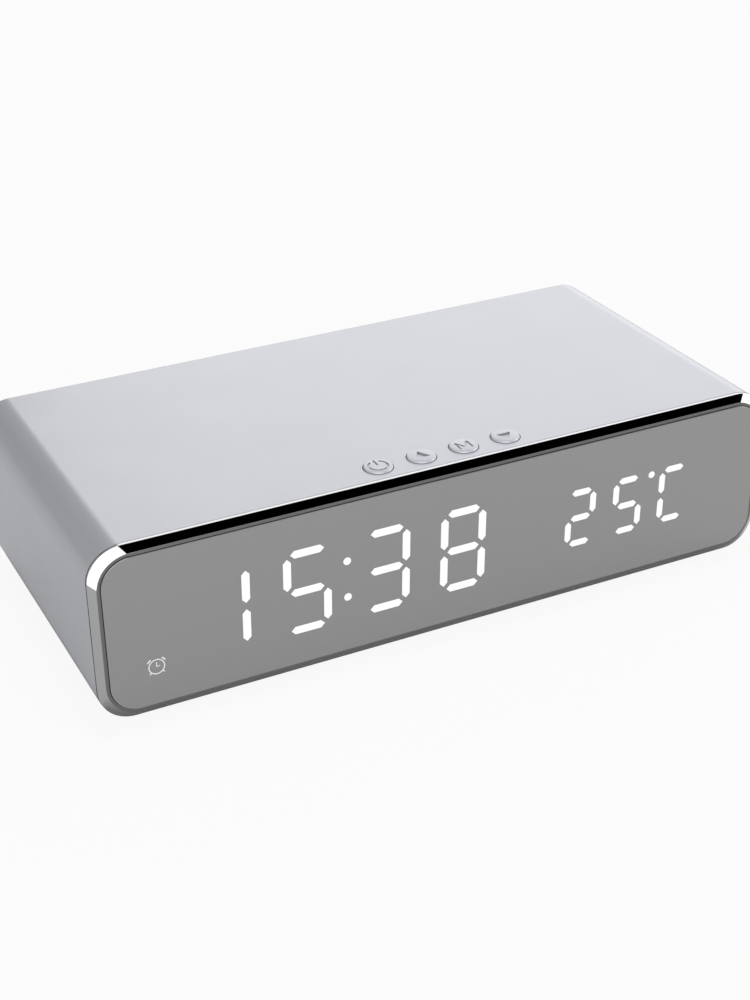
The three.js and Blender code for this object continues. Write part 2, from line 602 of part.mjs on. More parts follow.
// Bezel: chamfer, flat rim, lens pocket, ledge and a spigot inside the sleeve, with the LED board's posts
function frontBezel() {
  const spigotR = CORNER_R - SPIGOT_INSET;
  const openingR = spigotR - SPIGOT_WALL;
  const spigotBackY = SLEEVE_FRONT_Y + SPIGOT_LENGTH;
  const ring = solid(ringBody([
    [0, SLEEVE_FRONT_Y, CORNER_R],
    [0, EDGE_Y, CORNER_R],
    [CHAMFER_IN, RIM_Y, RIM_CORNER_R],
    [POCKET_INSET, RIM_Y, POCKET_CORNER_R],
    [POCKET_INSET, LENS_BACK_Y, POCKET_CORNER_R],
    [OPENING_INSET, LENS_BACK_Y, openingR],
    [OPENING_INSET, spigotBackY, openingR],
    [SPIGOT_INSET, spigotBackY, spigotR],
    [SPIGOT_INSET, SLEEVE_FRONT_Y, spigotR],
  ]));
  const posts = DISPLAY_SCREWS.map(([, x, z]) => {
    const inner = Math.sign(x) * DISPLAY_POST_INNER_X;
    const outer = Math.sign(x) * (OPENING_HALF_WIDTH + SPIGOT_WALL / 2);
    return block(Math.min(inner, outer), Math.max(inner, outer), MASK_FRONT_Y, LED_BOARD_FRONT_Y,
      z - DISPLAY_POST_HEIGHT / 2, z + DISPLAY_POST_HEIGHT / 2);
  });
  const holeFrontY = LED_BOARD_BACK_Y - DISPLAY_SCREW_LENGTH - SCREW_TIP_GAP;
  const postHoles = DISPLAY_SCREWS.map(([, x, z]) => (
    rodAlongY(SCREW_HOLE_R, holeFrontY, LED_BOARD_BACK_Y, COARSE_STEPS).translate(x, 0, z)
  ));
  const buttonNotch = block(BUTTON_BOARD_LEFT - OVERRUN, BUTTON_BOARD_RIGHT + OVERRUN,
    BUTTON_Y - FLANGE_R - DISPLAY_POST_GAP, spigotBackY + OVERRUN, BUTTON_BOARD_BOTTOM_Z, CEILING_Z);
  return geometryOf(cut(join(ring, ...posts), ...postHoles, buttonNotch));
}

function frontLens() {
  const inset = POCKET_INSET + LENS_CLEARANCE;
  const shape = roundedRect(WIDTH - 2 * inset, SLEEVE_HEIGHT - 2 * inset, POCKET_CORNER_R - LENS_CLEARANCE);
  return slabAlongY(shape, FRONT_Y, LENS_BACK_Y).translate(0, 0, MID_Z);
}

const diffuserFilm = () => (
  block(-MASK_HALF_WIDTH, MASK_HALF_WIDTH, LENS_BACK_Y, MASK_FRONT_Y, MASK_BOTTOM_Z, MASK_TOP_Z)
);

function segmentMask() {
  const plate = solid(block(-MASK_HALF_WIDTH, MASK_HALF_WIDTH, MASK_FRONT_Y, LED_BOARD_FRONT_Y,
    MASK_BOTTOM_Z, MASK_TOP_Z));
  const windows = displayMarks.map(({ shape }) => (
    slabAlongY(shape, MASK_FRONT_Y - OVERRUN, LED_BOARD_FRONT_Y + OVERRUN)
  ));
  return geometryOf(cut(plate, ...windows));
}

function ledBoard() {
  const halfWidth = OPENING_HALF_WIDTH - DISPLAY_POST_GAP;
  const plate = solid(block(-halfWidth, halfWidth, LED_BOARD_FRONT_Y, LED_BOARD_BACK_Y,
    MASK_BOTTOM_Z, MASK_TOP_Z));
  const half = LED_WIDTH / 2;
  const root = LED_BOARD_FRONT_Y + LED_BOARD_THICKNESS / 2;
  const leds = displayMarks.map(({ centre }) => (
    block(centre.x - half, centre.x + half, LED_BOARD_FRONT_Y - LED_HEIGHT, root,
      centre.y - half, centre.y + half)
  ));
  const holes = DISPLAY_SCREWS.map(([, x, z]) => (
    rodAlongY(SCREW_HOLE_R, LED_BOARD_FRONT_Y - OVERRUN, LED_BOARD_BACK_Y + OVERRUN, COARSE_STEPS)
      .translate(x, 0, z)
  ));
  return geometryOf(cut(join(plate, ...leds), ...holes));
}

// Button cap about Z, with zero at the sleeve's top face
function buttonCap() {
  return turned([
    [0, PLUNGER_TOP_Z - TOP_Z],
    [STEM_R, PLUNGER_TOP_Z - TOP_Z],
    [STEM_R, FLANGE_BOTTOM_Z - TOP_Z],
    [FLANGE_R, FLANGE_BOTTOM_Z - TOP_Z],
    [FLANGE_R, FLANGE_TOP_Z - TOP_Z],
    [BUTTON_R, FLANGE_TOP_Z - TOP_Z],
    [BUTTON_R, BUTTON_RAISE - BUTTON_EDGE],
    [BUTTON_R - BUTTON_EDGE, BUTTON_RAISE],
    [0, BUTTON_RAISE],
  ]);
}

const switchPlunger = () => rodAlongZ(PLUNGER_R, -PLUNGER_IN, PLUNGER_OUT, COARSE_STEPS);

// Switch case about Z, with zero at its top face
function switchCase() {
  const half = SWITCH_SIDE / 2;
  const well = PLUNGER_IN + BUTTON_TRAVEL + SWITCH_FLOOR_GAP;
  const body = solid(block(-half, half, -half, half, -SWITCH_HEIGHT, 0));
  return geometryOf(cut(body, rodAlongZ(PLUNGER_R + PLUNGER_CLEARANCE, -well, OVERRUN, COARSE_STEPS)));
}

function buttonBoard() {
  const plate = solid(block(BUTTON_BOARD_LEFT, BUTTON_BOARD_RIGHT, BUTTON_BOARD_FRONT, BUTTON_BOARD_BACK,
    BUTTON_BOARD_BOTTOM_Z, BUTTON_BOARD_TOP_Z));
  const holes = BOARD_POST_XS.map((x) => (
    rodAlongZ(SCREW_HOLE_R, BUTTON_BOARD_BOTTOM_Z - OVERRUN, BUTTON_BOARD_TOP_Z + OVERRUN, COARSE_STEPS)
      .translate(x, BOARD_POST_Y, 0)
  ));
  return geometryOf(cut(plate, ...holes));
}

const chargingCoil = () => turned([
  [COIL_EYE_R, 0],
  [COIL_R, 0],
  [COIL_R, COIL_THICKNESS],
  [COIL_EYE_R, COIL_THICKNESS],
  [COIL_EYE_R, 0],
]);

// Ferrite sheet about the coil's middle, with zero at its top face and a slot that lets the coil's lead down
function ferriteSheet() {
  const half = FERRITE_SIDE / 2;
  const outline = roundedRect(FERRITE_SIDE, FERRITE_SIDE, FERRITE_CORNER_R, SMALL_CORNER_STEPS);
  const sheet = solid(slabAlongZ(outline, -FERRITE_THICKNESS, 0));
  const wide = COIL_LEAD_WIDTH / 2 + COIL_LEAD_GAP;
  const slotBack = COIL_LEAD_Y - COIL_Y + COIL_LEAD_THICKNESS / 2 + COIL_LEAD_GAP;
  const slot = block(COIL_LEAD_X - wide, COIL_LEAD_X + wide, -half - OVERRUN, slotBack,
    -FERRITE_THICKNESS - OVERRUN, OVERRUN);
  return geometryOf(cut(sheet, slot));
}

// The inlet's outline: a slot with round ends
function inletOutline(grow) {
  const height = INLET_HEIGHT + 2 * grow;
  return roundedOutline(INLET_WIDTH + 2 * grow, height, height / 2, SMALL_CORNER_STEPS);
}

// Places of the two shelf screws, in X
const SHELF_XS = [-1, 1].map((side) => side * (MAIN_BOARD_WIDTH / 2 - MAIN_SCREW_FROM_SIDE));
const MAIN_SCREW_Y = MAIN_BOARD_FRONT + MAIN_SCREW_FROM_FRONT;

// Rear cover: a plate with two shelves for the main board, the inlet's cut-out, vent slots and sound holes
function rearCover() {
  const inset = SLEEVE_WALL + COVER_CLEARANCE;
  const outline = roundedRect(WIDTH - 2 * inset, SLEEVE_HEIGHT - 2 * inset, CORNER_R - inset);
  const plate = solid(slabAlongY(outline, COVER_FRONT_Y, COVER_BACK_Y).translate(0, 0, MID_Z));
  const root = COVER_FRONT_Y + COVER_THICKNESS / 2;
  const shelves = SHELF_XS.flatMap((x) => {
    const out = Math.sign(x) * SHELF_WIDTH / 2;
    const web = out - Math.sign(x) * SHELF_WEB;
    const shelfBottom = MAIN_BOARD_BOTTOM_Z - SHELF_THICKNESS;
    return [
      block(x - SHELF_WIDTH / 2, x + SHELF_WIDTH / 2, MAIN_BOARD_FRONT, root,
        shelfBottom, MAIN_BOARD_BOTTOM_Z),
      block(x + Math.min(out, web), x + Math.max(out, web), MAIN_BOARD_FRONT, root,
        shelfBottom - SHELF_WEB_HEIGHT, shelfBottom + SHELF_THICKNESS / 2),
    ];
  });
  const shelfHoles = SHELF_XS.map((x) => (
    rodAlongZ(SCREW_HOLE_R, FLOOR_Z, MAIN_BOARD_TOP_Z, COARSE_STEPS).translate(x, MAIN_SCREW_Y, 0)
  ));
  const cutFront = COVER_FRONT_Y - OVERRUN;
  const cutBack = COVER_BACK_Y + OVERRUN;
  const counterboreY = COVER_BACK_Y - COUNTERBORE_DEPTH;
  const screwHoles = BOSSES.flatMap(([, x, z]) => [
    rodAlongY(SCREW_HOLE_R, cutFront, cutBack, COARSE_STEPS).translate(x, 0, z),
    rodAlongY(SCREW_HEAD_R + SCREW_CLEARANCE, counterboreY, cutBack, COARSE_STEPS).translate(x, 0, z),
  ]);
  const inletHole = new THREE.Shape(inletOutline(INLET_CLEARANCE));
  const inlet = slabAlongY(inletHole, cutFront, cutBack).translate(0, 0, INLET_MID_Z);
  const ventHole = roundedRect(VENT_WIDTH, VENT_LENGTH, VENT_WIDTH / 2, SMALL_CORNER_STEPS);
  const vents = Array.from({ length: VENT_COUNT }, (_, i) => {
    const x = VENT_X + (i - (VENT_COUNT - 1) / 2) * VENT_PITCH;
    return slabAlongY(ventHole, cutFront, cutBack).translate(x, 0, MAIN_BOARD_TOP_Z + VENT_RISE);
  });
  const sound = [[0, 0]];
  for (let i = 0; i < SOUND_HOLE_COUNT; i += 1) {
    const angle = i / SOUND_HOLE_COUNT * 2 * Math.PI;
    sound.push([SOUND_RING_R * Math.cos(angle), SOUND_RING_R * Math.sin(angle)]);
  }
  const buzzerX = MAIN_BOARD_LEFT + BUZZER_PLACE[0];
  const soundHoles = sound.map(([x, z]) => (
    rodAlongY(SOUND_HOLE_R, cutFront, cutBack, COARSE_STEPS)
      .translate(buzzerX + x, 0, MAIN_BOARD_TOP_Z + SOUND_RISE + z)
  ));
  const holes = [...shelfHoles, ...screwHoles, inlet, ...vents, ...soundHoles];
  return geometryOf(cut(join(plate, ...shelves), ...holes));
}

function mainBoard() {
  const right = MAIN_BOARD_LEFT + MAIN_BOARD_WIDTH;
  const plate = solid(block(MAIN_BOARD_LEFT, right, MAIN_BOARD_FRONT, MAIN_BOARD_BACK,
    MAIN_BOARD_BOTTOM_Z, MAIN_BOARD_TOP_Z));
  const holes = SHELF_XS.map((x) => (
    rodAlongZ(SCREW_HOLE_R, MAIN_BOARD_BOTTOM_Z - OVERRUN, MAIN_BOARD_TOP_Z + OVERRUN, COARSE_STEPS)
      .translate(x, MAIN_SCREW_Y, 0)
  ));
  return geometryOf(cut(plate, ...holes));
}

// Inlet socket: a metal shell with the contact tongue on its base inside
function inletShell() {
  const section = new THREE.Shape(inletOutline(0));
  section.holes.push(new THREE.Path(inletOutline(-INLET_SHELL)));
  return slabAlongY(section, INLET_BACK_Y - INLET_LENGTH, INLET_BACK_Y).translate(0, 0, INLET_MID_Z);
}

function inletTongue() {
  const front = INLET_BACK_Y - INLET_LENGTH + TONGUE_BASE_GAP;
  const baseBack = front + TONGUE_BASE_LENGTH;
  const baseHalf = INLET_HEIGHT / 2 - INLET_SHELL - TONGUE_BASE_GAP;
  const half = INLET_WIDTH / 2 - INLET_SHELL - TONGUE_SIDE_GAP;
  const base = solid(block(-half, half, front, baseBack, -baseHalf, baseHalf));
  const tongue = block(-half, half, baseBack - TONGUE_BASE_LENGTH / 2, INLET_BACK_Y - TONGUE_SETBACK,
    -TONGUE_THICKNESS / 2, TONGUE_THICKNESS / 2);
  return geometryOf(join(base, tongue)).translate(0, 0, INLET_MID_Z);
}

// Parts that stand on the main board, each about Z with zero at the board's top face
function boardBlock(width, depth, height, cornerR) {
  return slabAlongZ(roundedRect(width, depth, cornerR, SMALL_CORNER_STEPS), 0, height);
}

const chip = (side, height) => boardBlock(side, side, height, CHIP_CORNER_R);

const capacitor = () => boardBlock(CAPACITOR_WIDTH, CAPACITOR_DEPTH, CAPACITOR_HEIGHT, CAPACITOR_CORNER_R);

const inductor = () => boardBlock(INDUCTOR_SIDE, INDUCTOR_SIDE, INDUCTOR_HEIGHT, INDUCTOR_CORNER_R);

const buzzer = () => turned([
  [0, 0],
  [BUZZER_R, 0],
  [BUZZER_R, BUZZER_HEIGHT],
  [BUZZER_HOLE_R, BUZZER_HEIGHT],
  [BUZZER_HOLE_R, BUZZER_HEIGHT - BUZZER_HOLE_DEPTH],
  [0, BUZZER_HEIGHT - BUZZER_HOLE_DEPTH],
], COARSE_STEPS);

function cellHolder() {
  const side = 2 * (CELL_R + CELL_CLEARANCE + HOLDER_WALL);
  const height = HOLDER_FLOOR + CELL_THICKNESS + HOLDER_LIP;
  const body = solid(boardBlock(side, side, height, HOLDER_CORNER_R));
  const well = rodAlongZ(CELL_R + CELL_CLEARANCE, HOLDER_FLOOR, height + OVERRUN);
  return geometryOf(cut(body, well));
}

const coinCell = () => rodAlongZ(CELL_R, HOLDER_FLOOR, HOLDER_FLOOR + CELL_THICKNESS);

// A bead on its leg, level with the middle of the vent slots
const temperatureSensor = () => turned([
  [0, 0],
  [SENSOR_LEG_R, 0],
  [SENSOR_LEG_R, VENT_RISE - SENSOR_BEAD_R],
  [SENSOR_BEAD_R, VENT_RISE - SENSOR_BEAD_R / 2],
  [SENSOR_BEAD_R, VENT_RISE + SENSOR_BEAD_R / 2],
  [0, VENT_RISE + SENSOR_BEAD_R],
], COARSE_STEPS);

// Inside leads: each one ends flat on the main board's front edge
function lead(path, thickness, place, width) {
  const x = MAIN_BOARD_LEFT + place;
  return slabAlongX(leadBand(path, thickness), x - width / 2, x + width / 2);
}

const landingHeight = (thickness) => MAIN_BOARD_TOP_Z + LEAD_GAP + thickness / 2;

// From the back of the LED board down and back to the main board
function displayRibbon() {
  const y = LED_BOARD_BACK_Y + LEAD_GAP + RIBBON_THICKNESS / 2;
  const landing = landingHeight(RIBBON_THICKNESS);
  const path = new THREE.Path();
  path.moveTo(y, MASK_MID_Z + LEAD_LANDING);
  path.lineTo(y, MASK_MID_Z);
  path.bezierCurveTo(y, landing, (y + MAIN_BOARD_FRONT) / 2, landing, MAIN_BOARD_FRONT, landing);
  path.lineTo(MAIN_BOARD_FRONT + LEAD_LANDING, landing);
  return lead(path, RIBBON_THICKNESS, DISPLAY_RIBBON_PLACE, DISPLAY_RIBBON_WIDTH);
}

// From the underside of the button board in an S to the main board
function buttonRibbon() {
  const z = BUTTON_BOARD_BOTTOM_Z - LEAD_GAP - RIBBON_THICKNESS / 2;
  const landing = landingHeight(RIBBON_THICKNESS);
  const middle = (BUTTON_BOARD_BACK + MAIN_BOARD_FRONT) / 2;
  const path = new THREE.Path();
  path.moveTo(BUTTON_BOARD_BACK - LEAD_LANDING, z);
  path.lineTo(BUTTON_BOARD_BACK, z);
  path.bezierCurveTo(middle, z, middle, landing, MAIN_BOARD_FRONT, landing);
  path.lineTo(MAIN_BOARD_FRONT + LEAD_LANDING, landing);
  return lead(path, RIBBON_THICKNESS, BUTTON_RIBBON_PLACE, BUTTON_RIBBON_WIDTH);
}

// From the underside of the coil down through the ferrite's slot and back to the main board
function coilLead() {
  const top = COIL_BOTTOM_Z - LEAD_GAP;
  const straight = top - FERRITE_THICKNESS - LEAD_LANDING;
  const landing = landingHeight(COIL_LEAD_THICKNESS);
  const path = new THREE.Path();
  path.moveTo(COIL_LEAD_Y, top);
  path.lineTo(COIL_LEAD_Y, straight);
  path.bezierCurveTo(COIL_LEAD_Y, landing, COIL_LEAD_Y, landing, MAIN_BOARD_FRONT, landing);
  path.lineTo(MAIN_BOARD_FRONT + LEAD_LANDING, landing);
  return lead(path, COIL_LEAD_THICKNESS, COIL_LEAD_PLACE, COIL_LEAD_WIDTH);
}

// Foot about Z, standing on the table
const rubberFoot = () => turned([
  [0, 0],
  [FOOT_R - FOOT_CHAMFER, 0],
  [FOOT_R, FOOT_CHAMFER],
  [FOOT_R, FOOT_PROUD + FOOT_POCKET_DEPTH],
  [0, FOOT_PROUD + FOOT_POCKET_DEPTH],
]);

// Housing and front
addPiece('housing_sleeve', housingSleeve(), silverPaint);
addPiece('front_bezel', frontBezel(), brightPlate);
addPiece('front_lens', frontLens(), halfMirror);
addPiece('diffuser_film', diffuserFilm(), whiteFilm);
addPiece('segment_mask', segmentMask(), blackPlastic);
addPiece('led_board', ledBoard(), boardBlack);
DISPLAY_SCREWS.forEach(([number, x, z]) => {
  const place = [x, LED_BOARD_BACK_Y + SCREW_SEAT_GAP, z];
  addPiece(`display_screw_${number}`, screw(DISPLAY_SCREW_LENGTH), steel, place, -Math.PI / 2);
});

// Buttons, each over its own switch
BUTTON_NAMES.forEach((name, i) => {
  const x = BUTTON_XS[i];
  addPiece(`${name}_button`, buttonCap(), silverPaint, [x, BUTTON_Y, TOP_Z]);
  addPiece(`${name}_switch_plunger`, switchPlunger(), blackPlastic, [x, BUTTON_Y, SWITCH_TOP_Z]);
  addPiece(`${name}_switch_case`, switchCase(), steel, [x, BUTTON_Y, SWITCH_TOP_Z]);
});
addPiece('button_board', buttonBoard(), boardGreen);
BOARD_POST_XS.forEach((x, i) => {
  const place = [x, BOARD_POST_Y, BUTTON_BOARD_BOTTOM_Z - SCREW_SEAT_GAP];
  addPiece(`button_board_screw_${i + 1}`, screw(BUTTON_SCREW_LENGTH), steel, place, Math.PI);
});

// Charging coil on the underside of the top wall
addPiece('charging_coil', chargingCoil(), copper, [0, COIL_Y, COIL_BOTTOM_Z]);
addPiece('ferrite_sheet', ferriteSheet(), ferriteGrey, [0, COIL_Y, COIL_BOTTOM_Z]);

// Rear cover and main board
addPiece('rear_cover', rearCover(), greyPlastic);
BOSSES.forEach(([number, x, z]) => {
  const place = [x, COVER_BACK_Y - COUNTERBORE_DEPTH + SCREW_SEAT_GAP, z];
  addPiece(`rear_screw_${number}`, screw(REAR_SCREW_LENGTH), steel, place, -Math.PI / 2);
});
addPiece('main_board', mainBoard(), boardGreen);
SHELF_XS.forEach((x, i) => {
  const place = [x, MAIN_SCREW_Y, MAIN_BOARD_TOP_Z + SCREW_SEAT_GAP];
  addPiece(`main_board_screw_${i + 1}`, screw(MAIN_SCREW_LENGTH), steel, place);
});
addPiece('inlet_shell', inletShell(), steel);
addPiece('inlet_tongue', inletTongue(), blackPlastic);

const onBoard = ([x, y]) => [MAIN_BOARD_LEFT + x, MAIN_BOARD_FRONT + y, MAIN_BOARD_TOP_Z];
addPiece('microcontroller', chip(CONTROLLER_SIDE, CONTROLLER_HEIGHT), chipBlack, onBoard(CONTROLLER_PLACE));
addPiece('charge_controller', chip(CHARGE_CHIP_SIDE, CHARGE_CHIP_HEIGHT), chipBlack,
  onBoard(CHARGE_CHIP_PLACE));
addPiece('power_inductor', inductor(), ferriteGrey, onBoard(INDUCTOR_PLACE));
addPiece('resonant_capacitor', capacitor(), capacitorRed, onBoard(CAPACITOR_PLACE));
addPiece('buzzer', buzzer(), blackPlastic, onBoard(BUZZER_PLACE));
addPiece('cell_holder', cellHolder(), blackPlastic, onBoard(CELL_PLACE));
addPiece('backup_cell', coinCell(), steel, onBoard(CELL_PLACE));
addPiece('temperature_sensor', temperatureSensor(), chipBlack, onBoard(SENSOR_PLACE));

// Inside leads
addPiece('display_ribbon', displayRibbon(), ribbonGrey);
addPiece('button_ribbon', buttonRibbon(), ribbonGrey);
addPiece('coil_lead', coilLead(), leadRed);

// Feet
FEET.forEach(([number, x, y]) => {
  addPiece(`rubber_foot_${number}`, rubberFoot(), rubber, [x, y, 0]);
});

export default clock;
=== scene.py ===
"""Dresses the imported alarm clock: fine shells, engraved buttons, lit digits, rear fittings and finishes."""

import json
import math
from contextlib import contextmanager

import bmesh
import bpy
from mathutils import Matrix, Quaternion, Vector


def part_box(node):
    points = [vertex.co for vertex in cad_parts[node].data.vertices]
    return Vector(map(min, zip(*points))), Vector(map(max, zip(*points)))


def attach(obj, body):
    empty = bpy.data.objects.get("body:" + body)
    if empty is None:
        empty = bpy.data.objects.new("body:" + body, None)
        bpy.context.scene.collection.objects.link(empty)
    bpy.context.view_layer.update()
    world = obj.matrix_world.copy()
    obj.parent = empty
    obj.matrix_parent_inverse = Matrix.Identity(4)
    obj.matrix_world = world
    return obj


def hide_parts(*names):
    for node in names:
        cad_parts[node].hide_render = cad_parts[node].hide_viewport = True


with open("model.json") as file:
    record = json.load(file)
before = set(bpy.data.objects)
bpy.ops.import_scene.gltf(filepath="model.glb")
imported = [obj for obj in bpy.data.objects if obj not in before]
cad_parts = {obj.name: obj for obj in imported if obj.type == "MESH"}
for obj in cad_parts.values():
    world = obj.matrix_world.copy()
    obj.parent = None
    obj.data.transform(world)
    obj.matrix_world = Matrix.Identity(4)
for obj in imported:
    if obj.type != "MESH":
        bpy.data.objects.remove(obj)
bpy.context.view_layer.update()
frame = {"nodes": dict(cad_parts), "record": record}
nodes = frame["nodes"]

MM = 0.001
BODY = "clock_body"

# Sizes read from the frame
SLEEVE_LOW, SLEEVE_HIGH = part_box("housing_sleeve")
BEZEL_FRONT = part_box("front_bezel")[0].y
LENS_LOW, LENS_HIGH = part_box("front_lens")
COVER_LOW, COVER_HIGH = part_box("rear_cover")
BOARD_LOW, BOARD_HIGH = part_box("main_board")
BUTTON_BOARD_LOW, BUTTON_BOARD_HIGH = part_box("button_board")
SHELL_LOW, SHELL_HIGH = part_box("inlet_shell")
TONGUE_LOW, TONGUE_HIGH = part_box("inlet_tongue")
WIDTH = SLEEVE_HIGH.x - SLEEVE_LOW.x
HEIGHT = SLEEVE_HIGH.z - SLEEVE_LOW.z
MID_Z = (SLEEVE_HIGH.z + SLEEVE_LOW.z) / 2
TOP_Z = SLEEVE_HIGH.z

# Housing, bezel, lens and rear cover, as the solids have them
WALL = 2.4 * MM
CORNER_R = 7.5 * MM
LAND = 0.75 * MM
CHAMFER_IN = 1.55 * MM
RIM_CORNER_R = 7.2 * MM
RIM_WIDTH = 0.7 * MM
POCKET_CORNER_R = 6.4 * MM
SPIGOT_GAP = 0.1 * MM
SPIGOT_WALL = 1.5 * MM
SPIGOT_LENGTH = 3 * MM
DISPLAY_POST_HEIGHT = 6 * MM
PART_GAP = 0.3 * MM
NOTCH_GAP = 1 * MM
LENS_CORNER_R = 6.3 * MM
COVER_THICKNESS = 2 * MM
COVER_CORNER_R = 4.95 * MM
BOSS_R = 3.9 * MM
BOSS_LENGTH = 10 * MM
BOSS_HOLE = 6.2 * MM
SCREW_HOLE_R = 1.1 * MM
HEAD_HOLE_R = 2.05 * MM
COUNTERBORE = 0.8 * MM
FOOT_GAP = 0.2 * MM
POST_R = 2.5 * MM
POST_HOLE = 3.2 * MM
DISPLAY_POST_HOLE = 2.4 * MM
SHELF_HALF_WIDTH = 3 * MM
SHELF_THICKNESS = 2 * MM
SHELF_RIB_WIDTH = 2 * MM
SHELF_RIB_DROP = 3 * MM

# Fine steps, roundings and the thickness of the lit marks, which only the scene has
LAND_DROP = 0.03 * MM
SIDE_STEP = 0.09 * MM
SEAM = 0.07 * MM
SLEEVE_FRONT_ROUND = 0.06 * MM
SLEEVE_BACK_ROUND = 0.3 * MM
BUTTON_HOLE_ROUND = 0.05 * MM
BEZEL_ROUND = 0.04 * MM
LENS_SETBACK = 0.03 * MM
LENS_ROUND = 0.12 * MM
COVER_ROUND = 0.15 * MM
LIT_THICKNESS = 0.06 * MM

# Buttons, and the marks in their caps; CAP_SHARP is an angle in degrees, CAP_LEVEL the least upward part of
# a level face's normal, and M_DIP the share of the letter's height that its inner strokes run down
BUTTON_NAMES = ("power", "up", "mode", "down")
BUTTON_R = 3.15 * MM
BUTTON_HOLE_R = 3.3 * MM
CAP_BEVEL_IN = 0.2 * MM
CAP_BEVEL_DOWN = 0.33 * MM
CAP_EDGE_ROUND = 0.03 * MM
CAP_SHARP = 25
CAP_LEVEL = 0.9
FLANGE_GAP = 0.1 * MM
FLANGE_THICKNESS = 0.8 * MM
STEM_R = 1.6 * MM
STROKE_DEPTH = 0.25 * MM
TRIANGLE_DEPTH = 0.36 * MM
TRIANGLE_R = 1.9 * MM
MARK_STROKE = 0.46 * MM
POWER_RING_R = 2.28 * MM
POWER_GAP_HALF = 0.95 * MM
POWER_BAR = (0.3 * MM, 2.5 * MM)
M_HALF_HEIGHT = 1.5 * MM
M_HALF_WIDTH = 1.4 * MM
M_DIP = 0.8

# Rear cover openings
INLET_GAP = 0.3 * MM
VENT_WIDTH = 1.2 * MM
VENT_LENGTH = 9 * MM
VENT_PITCH = 3 * MM
VENT_COUNT = 5
HOLES_RISE = 12 * MM
SOUND_HOLE_R = 0.8 * MM
SOUND_RING_R = 3.4 * MM
SOUND_HOLE_COUNT = 6

# Power inlet
INLET_WALL = 0.33 * MM
INLET_ROUND = 0.08 * MM
TONGUE_ROOT = 2.4 * MM
TONGUE_HALF = 0.35 * MM
CONTACT_COUNT = 10
CONTACT_PITCH = 0.5 * MM
CONTACT_HALF_WIDTH = 0.13 * MM
CONTACT_HALF = 0.04 * MM
CONTACT_ROUND = 0.03 * MM
CONTACT_SETBACK = 0.4 * MM

# Screws and feet
SCREW_HEAD = 1.2 * MM
SCREW_CROWN = 0.5 * MM
SCREW_POINT = 0.5 * MM
SCREW_POINT_R = 0.57 * MM
SHANK_R = 0.95 * MM
RECESS_HALF_LENGTH = 1.1 * MM
RECESS_HALF_WIDTH = 0.25 * MM
RECESS_DEPTH = 0.6 * MM
FOOT_ROUND = 0.5 * MM
FOOT_HOLLOW = 0.2 * MM
FOOT_HOLLOW_SHARE = 0.55
FOOT_HOLLOW_SLOPE = 0.3 * MM

# Display marks on the lens, in millimetres and degrees; a group of digits has the x of its first digit's
# right column, the pitch and width of its digits, half their height, and the width and tip gap of their bars
CLOCK_DIGITS = {
    "text": "1538", "x": -48, "pitch": 18.14, "width": 9.07, "half": 8.99, "bar": 1.76, "gap": 0.757,
}
HEAT_DIGITS = {
    "text": "25C", "x": 34.26, "pitch": 12.1, "width": 6.08, "half": 6.22, "bar": 1.49, "gap": 0.575,
}
DIGIT_Z = 20.8
SLANT = 0.018
BAR_CORNERS = 6
COLON_X = -25.35
COLON_SPREAD = 4.29
COLON_R = 0.87
DEGREE_X = 49.5
DEGREE_Z = 26.8
DEGREE_R = 0.8
ALARM_X = -67.8
ALARM_Z = 12.35
ALARM_R = 1.66
ALARM_STROKE = 0.22
ALARM_LONG_HAND = 1.05
ALARM_SHORT_HAND = 0.75
ALARM_SHORT_HAND_TURN = 10
ALARM_FOOT = 0.6
LONG_HAND_SHARE = 0.8
SHORT_HAND_SHARE = 0.7
BAR_END_SHARE = 0.45
BELL_TURNS = (45, 135)
BELL_OUT = 0.55
BELL_THICK = 0.29
BELL_HALF_ANGLE = 13

# Ends of the seven bars, across a digit's width and up its half height, and the bars that each sign lights
BARS = {
    "a": ((0, 1), (1, 1)),
    "b": ((1, 0), (1, 1)),
    "c": ((1, -1), (1, 0)),
    "d": ((0, -1), (1, -1)),
    "e": ((0, -1), (0, 0)),
    "f": ((0, 0), (0, 1)),
    "g": ((0, 0), (1, 0)),
}
LIT_BARS = {"1": "bc", "2": "abged", "3": "abgcd", "5": "afgcd", "8": "abcdefg", "C": "afed"}

# How finely shapes are cut, how near counts as on, how far a shape that cuts or joins runs past the face it
# meets, the share of a width that rounds its ends, and the angles in degrees past which an edge is sharp
CORNER_SEGMENTS = 24
TURN_SEGMENTS = 64
HOLE_SEGMENTS = 24
SMALL_SEGMENTS = 32
HEAD_SEGMENTS = 48
INLET_SEGMENTS = 12
SLOT_SEGMENTS = 8
ARC_SEGMENTS = 8
FLOOR_SEGMENTS = 96
NEAR = 1e-6
CLOSE = 0.02 * MM
OVERLAP = 1 * MM
FULL_ROUND = 0.499
SHARP = 30
BEZEL_SHARP = 25
INLET_SHARP = 60


# Modelling helpers


def clear_selection():
    bpy.ops.object.select_all(action="DESELECT")


def make_active(piece):
    clear_selection()
    piece.select_set(True)
    bpy.context.view_layer.objects.active = piece


def begin(primitive, **settings):
    """Adds a primitive with nothing else selected."""
    clear_selection()
    primitive(**settings)
    return bpy.context.object


def disc(segments, radius):
    """A flat face with even corners about the origin."""
    return begin(bpy.ops.mesh.primitive_circle_add, vertices=segments, radius=radius, fill_type="NGON")


def pick_all():
    """In edit mode, selects everything."""
    bpy.ops.mesh.select_all(action="SELECT")


@contextmanager
def editing(piece):
    """Edit mode on one piece, with everything in it selected."""
    make_active(piece)
    bpy.ops.object.mode_set(mode="EDIT")
    bpy.ops.mesh.select_mode(type="VERT")
    pick_all()
    yield
    bpy.ops.object.mode_set(mode="OBJECT")


